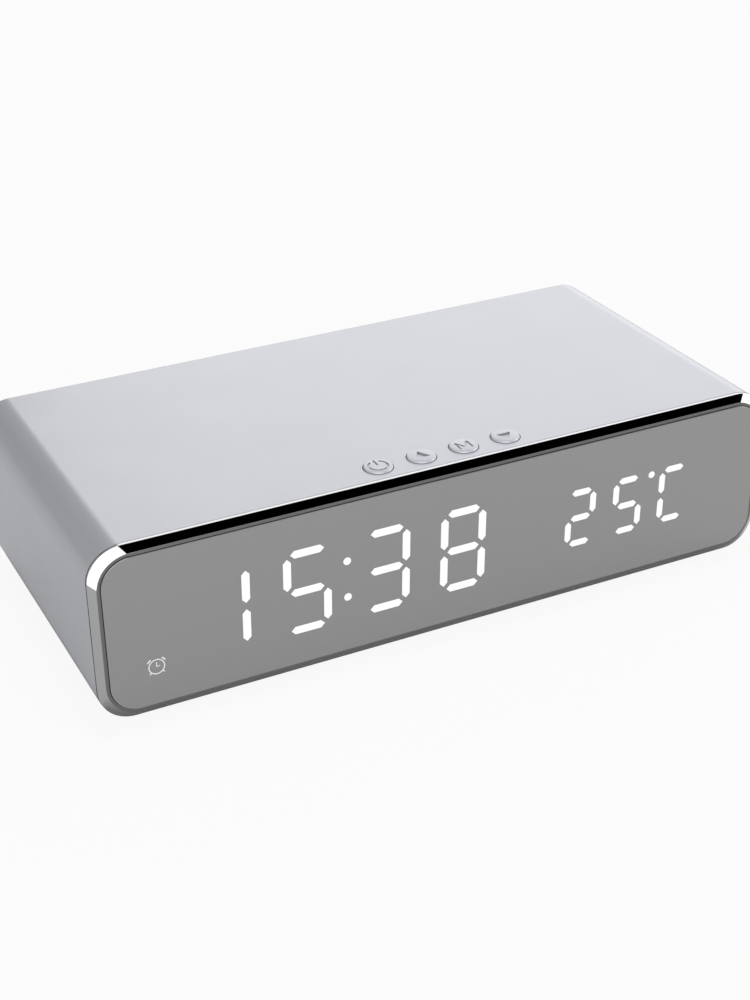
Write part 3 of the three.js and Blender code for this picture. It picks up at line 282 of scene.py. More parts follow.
def pick_edges(piece, test, bend=0):
    """In edit mode, selects only the edges whose ends pass the test and that bend by more than the angle."""
    bpy.ops.mesh.select_mode(type="EDGE")
    bpy.ops.mesh.select_all(action="DESELECT")
    mesh = bmesh.from_edit_mesh(piece.data)
    for edge in mesh.edges:
        bent = edge.calc_face_angle(math.pi) > math.radians(bend)
        edge.select_set(bent and all(test(v.co) for v in edge.verts))
    mesh.select_flush_mode()
    bmesh.update_edit_mesh(piece.data)


def round_edges(piece, test, width, segments):
    """In edit mode, rounds the sharp edges whose ends pass the test."""
    pick_edges(piece, test, SHARP)
    bpy.ops.mesh.bevel(offset=width, segments=segments, affect="EDGES")


def settle(piece):
    """Puts the piece's place, turn and size into its mesh."""
    make_active(piece)
    bpy.ops.object.transform_apply(location=True, rotation=True, scale=True)


def fuse(name, pieces):
    """Several objects as one mesh, with doubled points merged and faces turned outwards."""
    make_active(pieces[0])
    for other in pieces:
        other.select_set(True)
    bpy.ops.object.join()
    piece = pieces[0]
    piece.name = name
    with editing(piece):
        bpy.ops.mesh.remove_doubles(threshold=NEAR)
        bpy.ops.mesh.normals_make_consistent(inside=False)
    return piece


def apply_modifier(piece, kind, **settings):
    modifier = piece.modifiers.new(kind.lower(), kind)
    for key, value in settings.items():
        setattr(modifier, key, value)
    make_active(piece)
    bpy.ops.object.modifier_apply(modifier=modifier.name)


def carve(piece, *tools, operation="DIFFERENCE"):
    """Cuts the tools out of the piece, or joins them to it, and removes them."""
    for tool in tools:
        apply_modifier(piece, "BOOLEAN", operation=operation, solver="EXACT", object=tool)
        bpy.data.objects.remove(tool)


def soften(piece, width, segments=2, angle=SHARP):
    """Rounds every edge that is sharper than the angle."""
    apply_modifier(piece, "BEVEL", width=width, segments=segments, limit_method="ANGLE",
                   angle_limit=math.radians(angle), use_clamp_overlap=True)


def smooth(piece, angle=SHARP):
    """Smooth shading up to the angle, with flat faces kept flat."""
    make_active(piece)
    bpy.ops.object.shade_smooth_by_angle(angle=math.radians(angle))
    apply_modifier(piece, "WEIGHTED_NORMAL", keep_sharp=True)


def rounded_sheet(size, radius, centre, segments=CORNER_SEGMENTS):
    """A flat upright rectangle with round corners, which faces the front."""
    sheet = begin(bpy.ops.mesh.primitive_plane_add, size=1, location=centre, rotation=(math.pi / 2, 0, 0))
    sheet.scale = (size[0], size[1], 1)
    settle(sheet)
    with editing(sheet):
        bpy.ops.mesh.bevel(offset=radius, segments=segments, affect="VERTICES", profile=0.5)
        pick_all()
        bpy.ops.mesh.remove_doubles(threshold=NEAR)
    return sheet


def thicken(piece, depth):
    """Gives an upright flat piece its thickness, towards the back."""
    with editing(piece):
        bpy.ops.mesh.extrude_region_move(TRANSFORM_OT_translate={"value": (0, depth, 0)})
        pick_all()
        bpy.ops.mesh.normals_make_consistent(inside=False)


def plate(name, size, radius, front, thickness, centre=(0, MID_Z), segments=CORNER_SEGMENTS):
    """An upright rounded plate from its front plane back."""
    piece = rounded_sheet(size, radius, (centre[0], front, centre[1]), segments)
    piece.name = name
    thicken(piece, thickness)
    return piece


def ring(name, size, outlines, centre=(0, MID_Z), segments=CORNER_SEGMENTS):
    """A closed ring through rounded outlines in turn, each (inset from the size, y, corner radius).
    An inset may be a pair, across and up."""
    bands = []
    for first, second in zip(outlines, outlines[1:] + outlines[:1]):
        sheets = []
        for inset, y, radius in (first, second):
            across, up = inset if isinstance(inset, tuple) else (inset, inset)
            outline_size = (size[0] - 2 * across, size[1] - 2 * up)
            sheets.append(rounded_sheet(outline_size, radius, (centre[0], y, centre[1]), segments))
        make_active(sheets[0])
        sheets[1].select_set(True)
        bpy.ops.object.join()
        with editing(sheets[0]):
            bpy.ops.mesh.delete(type="ONLY_FACE")
            pick_all()
            bpy.ops.mesh.bridge_edge_loops()
        bands.append(sheets[0])
    return fuse(name, bands)


def turned(name, profile, place=(0, 0, 0), turn=(0, 0, 0), segments=TURN_SEGMENTS):
    """A profile of (radius, height) points spun about the upright axis, then turned and set in place."""
    piece = begin(bpy.ops.mesh.primitive_plane_add, size=MM)
    piece.name = name
    with editing(piece):
        bpy.ops.mesh.merge(type="CENTER")
        bpy.ops.transform.translate(value=(profile[0][0], 0, profile[0][1]))
        for (r0, h0), (r1, h1) in zip(profile, profile[1:]):
            bpy.ops.mesh.extrude_vertices_move(TRANSFORM_OT_translate={"value": (r1 - r0, 0, h1 - h0)})
        pick_all()
        bpy.ops.mesh.spin(steps=segments, angle=2 * math.pi, center=(0, 0, 0), axis=(0, 0, 1))
        pick_all()
        bpy.ops.mesh.remove_doubles(threshold=NEAR)
        bpy.ops.mesh.normals_make_consistent(inside=False)
    piece.rotation_euler = turn
    piece.location = place
    settle(piece)
    return piece


def rod(radius, start, length, turn=(0, 0, 0), segments=TURN_SEGMENTS):
    """A plain rod from a point along the turned upright axis, used to cut or to join."""
    return turned("rod", [(0, 0), (radius, 0), (radius, length), (0, length)], start, turn, segments)


def block(low, high):
    """A plain block between two corners, used to cut or to join."""
    low, high = Vector(low), Vector(high)
    piece = begin(bpy.ops.mesh.primitive_cube_add, size=1, location=(low + high) / 2)
    piece.scale = high - low
    settle(piece)
    return piece


TOWARDS_BACK = (-math.pi / 2, 0, 0)


def arc_points(centre, radii, degrees):
    """Points along an arc, for a profile or for places."""
    turns = [math.radians(d) for d in degrees]
    return [(centre[0] + radii[0] * math.cos(a), centre[1] + radii[1] * math.sin(a)) for a in turns]


def copy_to(piece, name, place):
    """A copy, with its own mesh, of a piece that was modelled about the origin."""
    twin = piece.copy()
    twin.data = piece.data.copy()
    twin.name = name
    twin.location = place
    bpy.context.scene.collection.objects.link(twin)
    settle(twin)
    return twin


def middle(node):
    """The middle of a solid of the frame."""
    low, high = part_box(node)
    return (low + high) / 2


def dress(piece, slot, *replaced, body=BODY, finish=None):
    """Gives a piece its body and its first material, which is the slot's own finish unless another is named,
    and hides the nodes that it stands for."""
    material = finish or FINISHES[slot]
    if not piece.data.materials:
        piece.data.materials.append(material)
    else:
        piece.data.materials[0] = material
    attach(piece, body)
    if replaced:
        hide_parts(*replaced)


# Materials


class Value:
    """A number that changes over a surface. Arithmetic on it adds Math nodes."""

    def __init__(self, paint, socket):
        self.paint = paint
        self.socket = socket

    def combine(self, operation, first, second):
        node = self.paint.node("ShaderNodeMath", {"operation": operation}, {0: first, 1: second})
        return Value(self.paint, node.outputs[0])

    def __add__(self, other):
        return self.combine("ADD", self, other)

    def __sub__(self, other):
        return self.combine("SUBTRACT", self, other)

    def __rsub__(self, other):
        return self.combine("SUBTRACT", other, self)

    def __mul__(self, other):
        return self.combine("MULTIPLY", self, other)

    def __gt__(self, other):
        return self.combine("GREATER_THAN", self, other)

    def __abs__(self):
        return self.combine("ABSOLUTE", self, 0)

    def at_least(self, other):
        return self.combine("MAXIMUM", self, other)

    def at_most(self, other):
        return self.combine("MINIMUM", self, other)

    __radd__ = __add__
    __rmul__ = __mul__


class Paint:
    """One material: a Principled shader, and the nodes that vary it over the surface."""

    def __init__(self, name, color, roughness, **fixed):
        self.material = bpy.data.materials.new(name)
        self.material.use_nodes = True
        self.tree = self.material.node_tree
        self.shader = self.tree.nodes["Principled BSDF"]
        self.feed(self.shader, {"Base Color": color, "Roughness": roughness, **fixed})
        self.place = self.node("ShaderNodeTexCoord").outputs["Object"]

    def node(self, kind, settings=None, sockets=None):
        """Adds a node, with its settings first and then the values or links of its sockets."""
        node = self.tree.nodes.new(kind)
        for key, value in (settings or {}).items():
            setattr(node, key, value)
        self.feed(node, sockets or {})
        return node

    def feed(self, node, sockets):
        for key, value in sockets.items():
            socket = node.inputs[key]
            if isinstance(value, Value):
                value = value.socket
            if isinstance(value, bpy.types.NodeSocket):
                self.tree.links.new(value, socket)
            elif socket.type == "RGBA" and len(value) == 3:
                socket.default_value = (*value, 1)
            else:
                socket.default_value = value

    def vary(self, **sockets):
        """Feeds the shader's own sockets; an underscore stands for a space in a socket's name."""
        self.feed(self.shader, {key.replace("_", " "): value for key, value in sockets.items()})

    def noise(self, size, detail=2, stretch=(1, 1, 1)):
        """Soft noise from 0 to 1 whose grain is about the given size."""
        scaled = self.node("ShaderNodeMapping", None, {"Vector": self.place, "Scale": stretch})
        sockets = {"Vector": scaled.outputs[0], "Scale": 1 / size, "Detail": detail}
        return Value(self, self.node("ShaderNodeTexNoise", None, sockets).outputs[0])

    def cells(self, size, distance="EUCLIDEAN"):
        """Distance from the middle of random cells of about the given size."""
        sockets = {"Vector": self.place, "Scale": 1 / size}
        node = self.node("ShaderNodeTexVoronoi", {"distance": distance}, sockets)
        return Value(self, node.outputs["Distance"])

    def waves(self, pitch, settings, shift=(0, 0, 0)):
        """Even bands or rings of the given pitch, from 0 to 1."""
        moved = self.node("ShaderNodeMapping", None, {"Vector": self.place, "Location": shift})
        sockets = {"Vector": moved.outputs[0], "Scale": math.pi / (10 * pitch)}
        return Value(self, self.node("ShaderNodeTexWave", settings, sockets).outputs["Fac"])

    def blend(self, factor, first, second):
        """A colour between two colours."""
        node = self.node("ShaderNodeMix", {"data_type": "RGBA"}, {0: factor, 6: first, 7: second})
        return node.outputs[2]

    def relief(self, height, depth):
        """Lets the surface rise and fall by the depth, as the height goes from 0 to 1."""
        sockets = {"Height": height, "Distance": depth, "Strength": 1}
        self.vary(Normal=self.node("ShaderNodeBump", None, sockets).outputs[0])

    def grade(self, tint, dark, light, grain, rough, depth):
        """Colour that follows the tint, and roughness and relief that follow the grain, each from 0 to 1."""
        self.vary(Base_Color=self.blend(tint, dark, light))
        self.vary(Roughness=rough[0] + grain * (rough[1] - rough[0]))
        self.relief(grain, depth)
        return self.material


def satin_silver(name="satin_silver", light=1.0):
    """Metallic paint: fine flakes under a satin lacquer, with a faint orange peel."""
    base = tuple(light * c for c in (0.438, 0.449, 0.482))
    paint = Paint(name, base, 0.3, Metallic=0.4, **{"Coat Weight": 0.15, "Coat Roughness": 0.25})
    flakes = paint.cells(0.12 * MM)
    clouds = paint.noise(14 * MM)
    uneven = flakes * 0.5 + clouds * 0.3
    paint.vary(Base_Color=paint.blend(uneven, [c * 1.03 for c in base], [c * 0.93 for c in base]))
    paint.vary(Roughness=0.27 + clouds * 0.04 + flakes * 0.04)
    paint.relief(paint.noise(0.6 * MM), 0.002 * MM)
    return paint.material


def bright_plating():
    """Polished plating with the faintest unevenness."""
    paint = Paint("bright_plating", (0.48, 0.482, 0.485), 0.05, Metallic=1)
    paint.vary(Roughness=0.03 + paint.noise(6 * MM) * 0.04)
    return paint.material


def dark_rim():
    """The bezel's flat rim round the lens, left satin and dark."""
    paint = Paint("dark_rim", (0.18, 0.18, 0.182), 0.3, Metallic=0.9)
    paint.vary(Roughness=0.26 + paint.noise(2 * MM) * 0.1)
    return paint.material


def half_mirror():
    """Grey half-mirror sheet over the display."""
    paint = Paint("half_mirror", (0.335, 0.335, 0.335), 0.08, Metallic=0.7)
    paint.vary(Roughness=0.05 + paint.noise(20 * MM) * 0.05)
    return paint.material


def lit_white(name, level):
    """Light of the display's segments."""
    paint = Paint(name, (0.02, 0.02, 0.02), 0.5, **{"Emission Strength": 1.0, "Specular IOR Level": 0.0})
    glow = paint.blend(paint.noise(3 * MM) * 0.3, (level, level, level), [level * 0.97] * 3)
    paint.vary(Emission_Color=glow)
    return paint.material


def painted_highlight_edge():
    """Silver paint on the buttons' bevels, made lighter as a painted highlight."""
    return satin_silver("painted_highlight_edge", 1.5)


def moulded_plastic(name, color, roughness, grain=0.25 * MM, depth=0.012 * MM):
    """Moulded plastic with a fine spark-eroded grain."""
    paint = Paint(name, color, roughness)
    dark, light = [c * 0.92 for c in color], [c * 1.05 for c in color]
    rough = (roughness - 0.06, roughness + 0.06)
    return paint.grade(paint.noise(9 * MM), dark, light, paint.noise(grain, 3), rough, depth)


def circuit_board():
    """Solder mask over copper tracks, with small bare pads."""
    mask, track, pad = (0.012, 0.09, 0.045), (0.03, 0.17, 0.085), (0.72, 0.7, 0.6)
    paint = Paint("circuit_board", mask, 0.4)
    tracks = paint.waves(0.9 * MM, {"bands_direction": "DIAGONAL"}) > 0.62
    pads = 0.16 - paint.cells(2.4 * MM, "MANHATTAN") > 0
    tracked = paint.blend(tracks, mask, track)
    paint.vary(Base_Color=paint.blend(pads, tracked, pad), Metallic=pads, Roughness=0.42 - tracks * 0.08)
    paint.relief(tracks * 0.5 + pads, 0.03 * MM)
    return paint.material


def plain_steel():
    """Bright steel with fine drawn lines."""
    paint = Paint("plain_steel", (0.56, 0.57, 0.58), 0.3, Metallic=1)
    lines = paint.noise(0.4 * MM, 2, (1, 1, 12))
    clouds = paint.noise(3 * MM)
    return paint.grade(clouds, (0.5, 0.51, 0.52), (0.6, 0.61, 0.62), lines, (0.22, 0.38), 0.002 * MM)


def wound_copper(centre):
    """Enamelled copper wire: round turns about the coil's middle, with painted shade darkening the grooves
    between turns.
    """
    paint = Paint("wound_copper", (0.62, 0.27, 0.13), 0.3, Metallic=1)
    rings = {"wave_type": "RINGS", "rings_direction": "Z"}
    turns = paint.waves(1.1 * MM, rings, (-centre[0], -centre[1], 0))
    # The colour follows the relief, darker in the grooves between turns: painted shade
    return paint.grade(turns, (0.25, 0.09, 0.04), (0.68, 0.31, 0.15), turns, (0.45, 0.25), 0.3 * MM)


def sintered_ferrite():
    """Dark sintered ferrite with a speckled break."""
    paint = Paint("sintered_ferrite", (0.015, 0.015, 0.017), 0.6)
    speckle = paint.noise(0.35 * MM, 4)
    dark, light = (0.008, 0.008, 0.009), (0.035, 0.035, 0.038)
    return paint.grade(speckle, dark, light, speckle, (0.45, 0.75), 0.02 * MM)


def dipped_gloss():
    """A capacitor's dipped coating, which runs a little uneven."""
    paint = Paint("dipped_gloss", (0.23, 0.03, 0.015), 0.2)
    runs = paint.noise(2.5 * MM)
    return paint.grade(runs, (0.16, 0.018, 0.01), (0.28, 0.04, 0.02), runs, (0.14, 0.28), 0.1 * MM)


def ribbed_lead():
    """Flat lead: side-by-side wires under a soft sleeve, with painted shade darkening the grooves between
    wires.
    """
    paint = Paint("ribbed_lead", (0.35, 0.36, 0.38), 0.5)
    wires = paint.waves(1.0 * MM, {"bands_direction": "X"})
    # The colour follows the relief, darker in the grooves between wires: painted shade
    return paint.grade(wires, (0.24, 0.25, 0.27), (0.42, 0.43, 0.45), wires, (0.55, 0.43), 0.2 * MM)


def black_rubber():
    """Matt rubber with a dusty bloom."""
    paint = Paint("black_rubber", (0.018, 0.018, 0.018), 0.8)
    grain = paint.noise(0.3 * MM, 4)
    bloom = paint.noise(4 * MM)
    return paint.grade(bloom, (0.012, 0.012, 0.012), (0.032, 0.032, 0.03), grain, (0.7, 0.9), 0.02 * MM)


def gold_contacts():
    """Thin gold on the inlet's contacts."""
    paint = Paint("gold_contacts", (0.83, 0.58, 0.2), 0.25, Metallic=1)
    paint.vary(Roughness=0.2 + paint.noise(0.5 * MM) * 0.15)
    return paint.material


COIL_LOW, COIL_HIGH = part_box("charging_coil")
SILVER = satin_silver()
FINISHES = {
    "silver_paint": SILVER,
    "bright_plate": bright_plating(),
    "half_mirror": half_mirror(),
    "white_film": moulded_plastic("diffuser_film", (0.85, 0.85, 0.83), 0.5),
    "black_plastic": moulded_plastic("black_moulding", (0.02, 0.02, 0.022), 0.5),
    "grey_plastic": moulded_plastic("grey_moulding", (0.3, 0.305, 0.32), 0.5),
    "circuit_board": circuit_board(),
    "steel": plain_steel(),
    "copper": wound_copper((COIL_LOW + COIL_HIGH) / 2),
    "ferrite": sintered_ferrite(),
    "chip": moulded_plastic("chip_epoxy", (0.015, 0.015, 0.016), 0.42, 0.12 * MM, 0.006 * MM),
    "capacitor": dipped_gloss(),
    "ribbon": ribbed_lead(),
    "rubber": black_rubber(),
}


# Places and sizes of small pieces, read from the frame

BUTTONS = {name: middle(f"{name}_button") for name in BUTTON_NAMES}
BUTTON_LOW, BUTTON_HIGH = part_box("power_button")
FLANGE_R = (BUTTON_HIGH.x - BUTTON_LOW.x) / 2
REAR_SCREWS = [middle(f"rear_screw_{number}") for number in range(1, 5)]
FEET = [middle(f"rubber_foot_{number}") for number in range(1, 5)]
FOOT_LOW, FOOT_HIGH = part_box("rubber_foot_1")
FOOT_R = (FOOT_HIGH.x - FOOT_LOW.x) / 2
COVER_FRONT = COVER_HIGH.y - COVER_THICKNESS
INLET_Z = (SHELL_LOW.z + SHELL_HIGH.z) / 2
ROOT_BACK = TONGUE_LOW.y + TONGUE_ROOT


# Housing, bezel and lens


def housing_sleeve():
    """The open tube, with its rear bosses, board posts, button holes and foot pockets."""
    front, back = SLEEVE_LOW.y + SEAM, SLEEVE_HIGH.y
    bore_r = CORNER_R - WALL
    sleeve = ring("housing_sleeve_shell", (WIDTH, HEIGHT),
                  [(0, front, CORNER_R), (0, back, CORNER_R), (WALL, back, bore_r), (WALL, front, bore_r)])
    for place in REAR_SCREWS:
        boss_start = (place.x, COVER_FRONT - BOSS_LENGTH, place.z)
        hole_start = (place.x, COVER_FRONT - BOSS_HOLE, place.z)
        carve(sleeve, rod(BOSS_R, boss_start, BOSS_LENGTH, TOWARDS_BACK, SMALL_SEGMENTS), operation="UNION")
        carve(sleeve, rod(SCREW_HOLE_R, hole_start, BOSS_HOLE + OVERLAP, TOWARDS_BACK, HOLE_SEGMENTS))
    ceiling = TOP_Z - WALL
    for number in (1, 2):
        place = middle(f"button_board_screw_{number}")
        foot = Vector((place.x, place.y, BUTTON_BOARD_HIGH.z))
        post_length = ceiling + WALL / 2 - foot.z
        carve(sleeve, rod(POST_R, foot, post_length, segments=SMALL_SEGMENTS), operation="UNION")
        carve(sleeve, rod(SCREW_HOLE_R, foot, POST_HOLE, segments=HOLE_SEGMENTS))
    for place in BUTTONS.values():
        carve(sleeve, rod(BUTTON_HOLE_R, (place.x, place.y, ceiling - OVERLAP), WALL + 2 * OVERLAP))
    for place in FEET:
        carve(sleeve, rod(FOOT_R + FOOT_GAP, (place.x, place.y, 0), FOOT_HIGH.z))

    def on_button_hole(p):
        away = min(abs(math.hypot(p.x - b.x, p.y - b.y) - BUTTON_HOLE_R) for b in BUTTONS.values())
        return abs(p.z - TOP_Z) < NEAR and away < CLOSE

    with editing(sleeve):
        round_edges(sleeve, on_button_hole, BUTTON_HOLE_ROUND, 2)
        round_edges(sleeve, lambda p: abs(p.y - back) < NEAR, SLEEVE_BACK_ROUND, 3)
        round_edges(sleeve, lambda p: abs(p.y - front) < NEAR, SLEEVE_FRONT_ROUND, 4)
    smooth(sleeve)
    sleeve.data.materials.append(SILVER)
    sleeve.data.materials.append(FINISHES["black_plastic"])
    for face in sleeve.data.polygons:
        face.material_index = int(abs(face.center.y - front) < NEAR)
    dress(sleeve, "silver_paint", "housing_sleeve")


def finish_bezel(bezel):
    """Bright plating outside, a dark rim round the lens, and bare plastic inside."""
    plated, rimmed, bare = range(3)
    for material in (FINISHES["bright_plate"], dark_rim(), FINISHES["black_plastic"]):
        bezel.data.materials.append(material)
    for face in bezel.data.polygons:
        place, normal = face.center, face.normal
        inward = normal.x * place.x + normal.z * (place.z - MID_Z) < 0
        if abs(place.y - BEZEL_FRONT) < CLOSE:
            face.material_index = rimmed
        elif place.y > SLEEVE_LOW.y - NEAR or (inward and place.y > BEZEL_FRONT):
            face.material_index = bare
        else:
            face.material_index = plated


def front_bezel():
    """The bright ring: a land that drops a little to the seam, chamfer, flat rim, lens pocket and spigot."""
    edge = SLEEVE_LOW.y - LAND
    pocket = CHAMFER_IN + RIM_WIDTH
    spigot = WALL + SPIGOT_GAP
    opening = spigot + SPIGOT_WALL
    spigot_r = CORNER_R - spigot
    spigot_back = SLEEVE_LOW.y + SPIGOT_LENGTH
    bezel = ring("front_bezel_ring", (WIDTH, HEIGHT), [
        ((SIDE_STEP + LAND_DROP, LAND_DROP), SLEEVE_LOW.y, CORNER_R - LAND_DROP),
        ((SIDE_STEP, 0), edge, CORNER_R),
        (CHAMFER_IN, BEZEL_FRONT, RIM_CORNER_R),
        (pocket, BEZEL_FRONT, POCKET_CORNER_R),
        (pocket, LENS_HIGH.y, POCKET_CORNER_R),
        (opening, LENS_HIGH.y, spigot_r - SPIGOT_WALL),
        (opening, spigot_back, spigot_r - SPIGOT_WALL),
        (spigot, spigot_back, spigot_r),
        (spigot, SLEEVE_LOW.y, spigot_r),
    ])
    mask_low, mask_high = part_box("segment_mask")
    for number in range(1, 5):
        place = middle(f"display_screw_{number}")
        inner, outer = mask_high.x + PART_GAP, WIDTH / 2 - opening + SPIGOT_WALL / 2
        left, right = (inner, outer) if place.x > 0 else (-outer, -inner)
        half = DISPLAY_POST_HEIGHT / 2
        carve(bezel, block((left, mask_low.y, place.z - half), (right, mask_high.y, place.z + half)),
              operation="UNION")
        hole_start = (place.x, mask_high.y - DISPLAY_POST_HOLE, place.z)
        carve(bezel, rod(SCREW_HOLE_R, hole_start, DISPLAY_POST_HOLE + OVERLAP, TOWARDS_BACK, HOLE_SEGMENTS))
    notch_front = BUTTONS["power"].y - FLANGE_R - PART_GAP
    carve(bezel, block((BUTTON_BOARD_LOW.x - NOTCH_GAP, notch_front, BUTTON_BOARD_LOW.z),
                       (BUTTON_BOARD_HIGH.x + NOTCH_GAP, spigot_back + OVERLAP, TOP_Z - WALL)))
    soften(bezel, BEZEL_ROUND, angle=BEZEL_SHARP)
    smooth(bezel, BEZEL_SHARP)
    finish_bezel(bezel)
    dress(bezel, "bright_plate", "front_bezel")


def front_lens():
    """The half-mirror sheet with a polished edge."""
    size = (LENS_HIGH.x - LENS_LOW.x, LENS_HIGH.z - LENS_LOW.z)
    front = LENS_LOW.y + LENS_SETBACK
    lens = plate("front_lens_sheet", size, LENS_CORNER_R, front, LENS_HIGH.y - front)
    soften(lens, LENS_ROUND, 3)
    smooth(lens)
    dress(lens, "half_mirror", "front_lens")


# Lit marks of the display


def lay_on_lens(mark, place=(0, 0), turn=0):
    """Stands a flat mark up on the lens at a point in X and Z, and gives it its thickness."""
    mark.rotation_mode = "QUATERNION"
    upright = Quaternion((1, 0, 0), math.pi / 2)
    mark.rotation_quaternion = upright @ Quaternion((0, 0, 1), turn)
    mark.location = (place[0], LENS_LOW.y, place[1])
    settle(mark)
    thicken(mark, LIT_THICKNESS)


def lit_bar(run, width, gap):
    """A pointed bar along a run in X and Z, kept short of both its ends, about the lens's middle."""
    bar = disc(BAR_CORNERS, width)
    half = run.length / 2 - gap - width
    with editing(bar):
        bpy.ops.transform.resize(value=(1 / math.sqrt(3), 1, 1), center_override=(0, 0, 0))
        for side in (-1, 1):
            pick_edges(bar, lambda p: p.y * side > NEAR)
            bpy.ops.transform.translate(value=(0, side * half, 0))
    lay_on_lens(bar, turn=math.atan2(run.y, run.x) - math.pi / 2)
    return bar


def lit_dot(x, z, radius):
    dot = disc(SMALL_SEGMENTS, radius)
    lay_on_lens(dot, (x, z))
    return dot


def digit_bars(group):
    """The lit bars of one group of digits: copies of one level bar and one upright bar."""
    width, half = group["width"] * MM, group["half"] * MM
    models = {}
    for level, run in ((True, Vector((width, 0))), (False, Vector((SLANT * half, half)))):
        models[level] = lit_bar(run, group["bar"] * MM, group["gap"] * MM)
    pieces = []
    for place, sign in enumerate(group["text"]):
        left = (group["x"] + place * group["pitch"]) * MM - width
        for bar in LIT_BARS[sign]:
            (x0, z0), (x1, z1) = BARS[bar]
            across, up = (x0 + x1) / 2, (z0 + z1) / 2
            spot = (left + across * width + SLANT * up * half, 0, DIGIT_Z * MM + up * half)
            pieces.append(copy_to(models[z0 == z1], f"bar_{bar}", spot))
    for model in models.values():
        bpy.data.objects.remove(model)
    return pieces


def flat_bar(start, end, width):
    """A round-ended bar of the alarm mark, between two points in X and Z."""
    start, end = Vector(start), Vector(end)
    bar = begin(bpy.ops.mesh.primitive_plane_add, size=1)
    bar.scale = ((end - start).length, width, 1)
    settle(bar)
    with editing(bar):
        bpy.ops.mesh.bevel(offset=width * BAR_END_SHARE, segments=4, affect="VERTICES")
    lay_on_lens(bar, (start + end) / 2, math.atan2(end.y - start.y, end.x - start.x))
    return bar


def lit_arc(place, radius, width, start, sweep):
    """A flat arc about a point in X and Z, with its angles in degrees."""
    arc = begin(bpy.ops.mesh.primitive_plane_add, size=MM)
    with editing(arc):
        bpy.ops.mesh.merge(type="CENTER")
        bpy.ops.transform.translate(value=(radius - width / 2, 0, 0))
        bpy.ops.mesh.extrude_vertices_move(TRANSFORM_OT_translate={"value": (width, 0, 0)})
        pick_all()
        bpy.ops.mesh.spin(steps=ARC_SEGMENTS, angle=math.radians(sweep), center=(0, 0, 0), axis=(0, 0, -1))
        pick_all()
        bpy.ops.mesh.remove_doubles(threshold=NEAR)
    lay_on_lens(arc, place, math.radians(start))
    return arc


def alarm_mark():
    """A small alarm clock: a ring, two hands, two bells and two feet."""
    centre = Vector((ALARM_X, ALARM_Z)) * MM
    stroke = ALARM_STROKE * MM
    radius = ALARM_R * MM

    def out(angle, distance):
        turn = math.radians(angle)
        return centre + Vector((math.cos(turn), math.sin(turn))) * distance

    rim = disc(TURN_SEGMENTS, radius + stroke / 2)
    with editing(rim):
        bpy.ops.mesh.select_mode(type="FACE")
        pick_all()
        bpy.ops.mesh.inset(thickness=stroke)
        bpy.ops.mesh.delete(type="FACE")
    lay_on_lens(rim, centre)
    pieces = [rim]
    long_end = centre + Vector((0, ALARM_LONG_HAND * MM))
    short_end = out(ALARM_SHORT_HAND_TURN, ALARM_SHORT_HAND * MM)
    pieces.append(flat_bar(centre, long_end, stroke * LONG_HAND_SHARE))
    pieces.append(flat_bar(centre, short_end, stroke * SHORT_HAND_SHARE))
    for angle in BELL_TURNS:
        start = angle - BELL_HALF_ANGLE
        pieces.append(lit_arc(centre, radius + BELL_OUT * MM, BELL_THICK * MM, start, 2 * BELL_HALF_ANGLE))
        pieces.append(flat_bar(out(-angle, radius), out(-angle, radius + ALARM_FOOT * MM), stroke))
    return pieces


def display_lights():
    """The time, the temperature and the alarm mark, each one piece on the lens."""
    white = lit_white("lit_segments", 1.0)
    pale = lit_white("lit_alarm_mark", 0.78)
    colon = [lit_dot(COLON_X * MM, (DIGIT_Z + side * COLON_SPREAD) * MM, COLON_R * MM) for side in (-1, 1)]
    degree = lit_dot(DEGREE_X * MM, DEGREE_Z * MM, DEGREE_R * MM)
    groups = {
        "clock_digits": (digit_bars(CLOCK_DIGITS) + colon, white),
        "temperature_digits": (digit_bars(HEAT_DIGITS) + [degree], white),
        "alarm_mark": (alarm_mark(), pale),
    }
    for name, (pieces, finish) in groups.items():
        dress(fuse(name, pieces), "white_film", finish=finish)


# Buttons


def mark_tools(name, centre):
    """The shapes that cut a button's mark into its cap, about the cap's middle."""
    low = centre.z - (STROKE_DEPTH if name in ("power", "mode") else TRIANGLE_DEPTH)
    high = centre.z + OVERLAP
    half = MARK_STROKE / 2

    def upright(x0, x1, y0, y1):
        return block((centre.x + x0, centre.y + y0, low), (centre.x + x1, centre.y + y1, high))

    def triangle(turn):
        spot = (centre.x, centre.y, (low + high) / 2)
        tool = begin(bpy.ops.mesh.primitive_cylinder_add, vertices=3, radius=TRIANGLE_R, depth=high - low,
                     location=spot, rotation=(0, 0, turn))
        settle(tool)
        return tool

    if name == "power":
        outer = POWER_RING_R
        inner = outer - MARK_STROKE
        arc = turned("arc", [(inner, low), (outer, low), (outer, high), (inner, high), (inner, low)],
                     (centre.x, centre.y, 0))
        carve(arc, block((centre.x - POWER_GAP_HALF, centre.y, low - OVERLAP),
                         (centre.x + POWER_GAP_HALF, centre.y + outer + OVERLAP, high + OVERLAP)))
        return [arc, upright(-half, half, *POWER_BAR)]
    if name == "mode":
        tall, wide = M_HALF_HEIGHT, M_HALF_WIDTH
        dip = 2 * tall * M_DIP
        strokes = [upright(side * wide - half, side * wide + half, -tall, tall) for side in (-1, 1)]
        for side in (-1, 1):
            stroke = begin(bpy.ops.mesh.primitive_cube_add, size=1)
            stroke.scale = (math.hypot(dip, wide), MARK_STROKE, high - low)
            stroke.rotation_euler = (0, 0, side * math.atan2(dip, wide))
            stroke.location = (centre.x + side * wide / 2, centre.y + tall - dip / 2, (low + high) / 2)
            settle(stroke)
            strokes.append(stroke)
        return strokes
    return [triangle(0 if name == "up" else math.pi)]


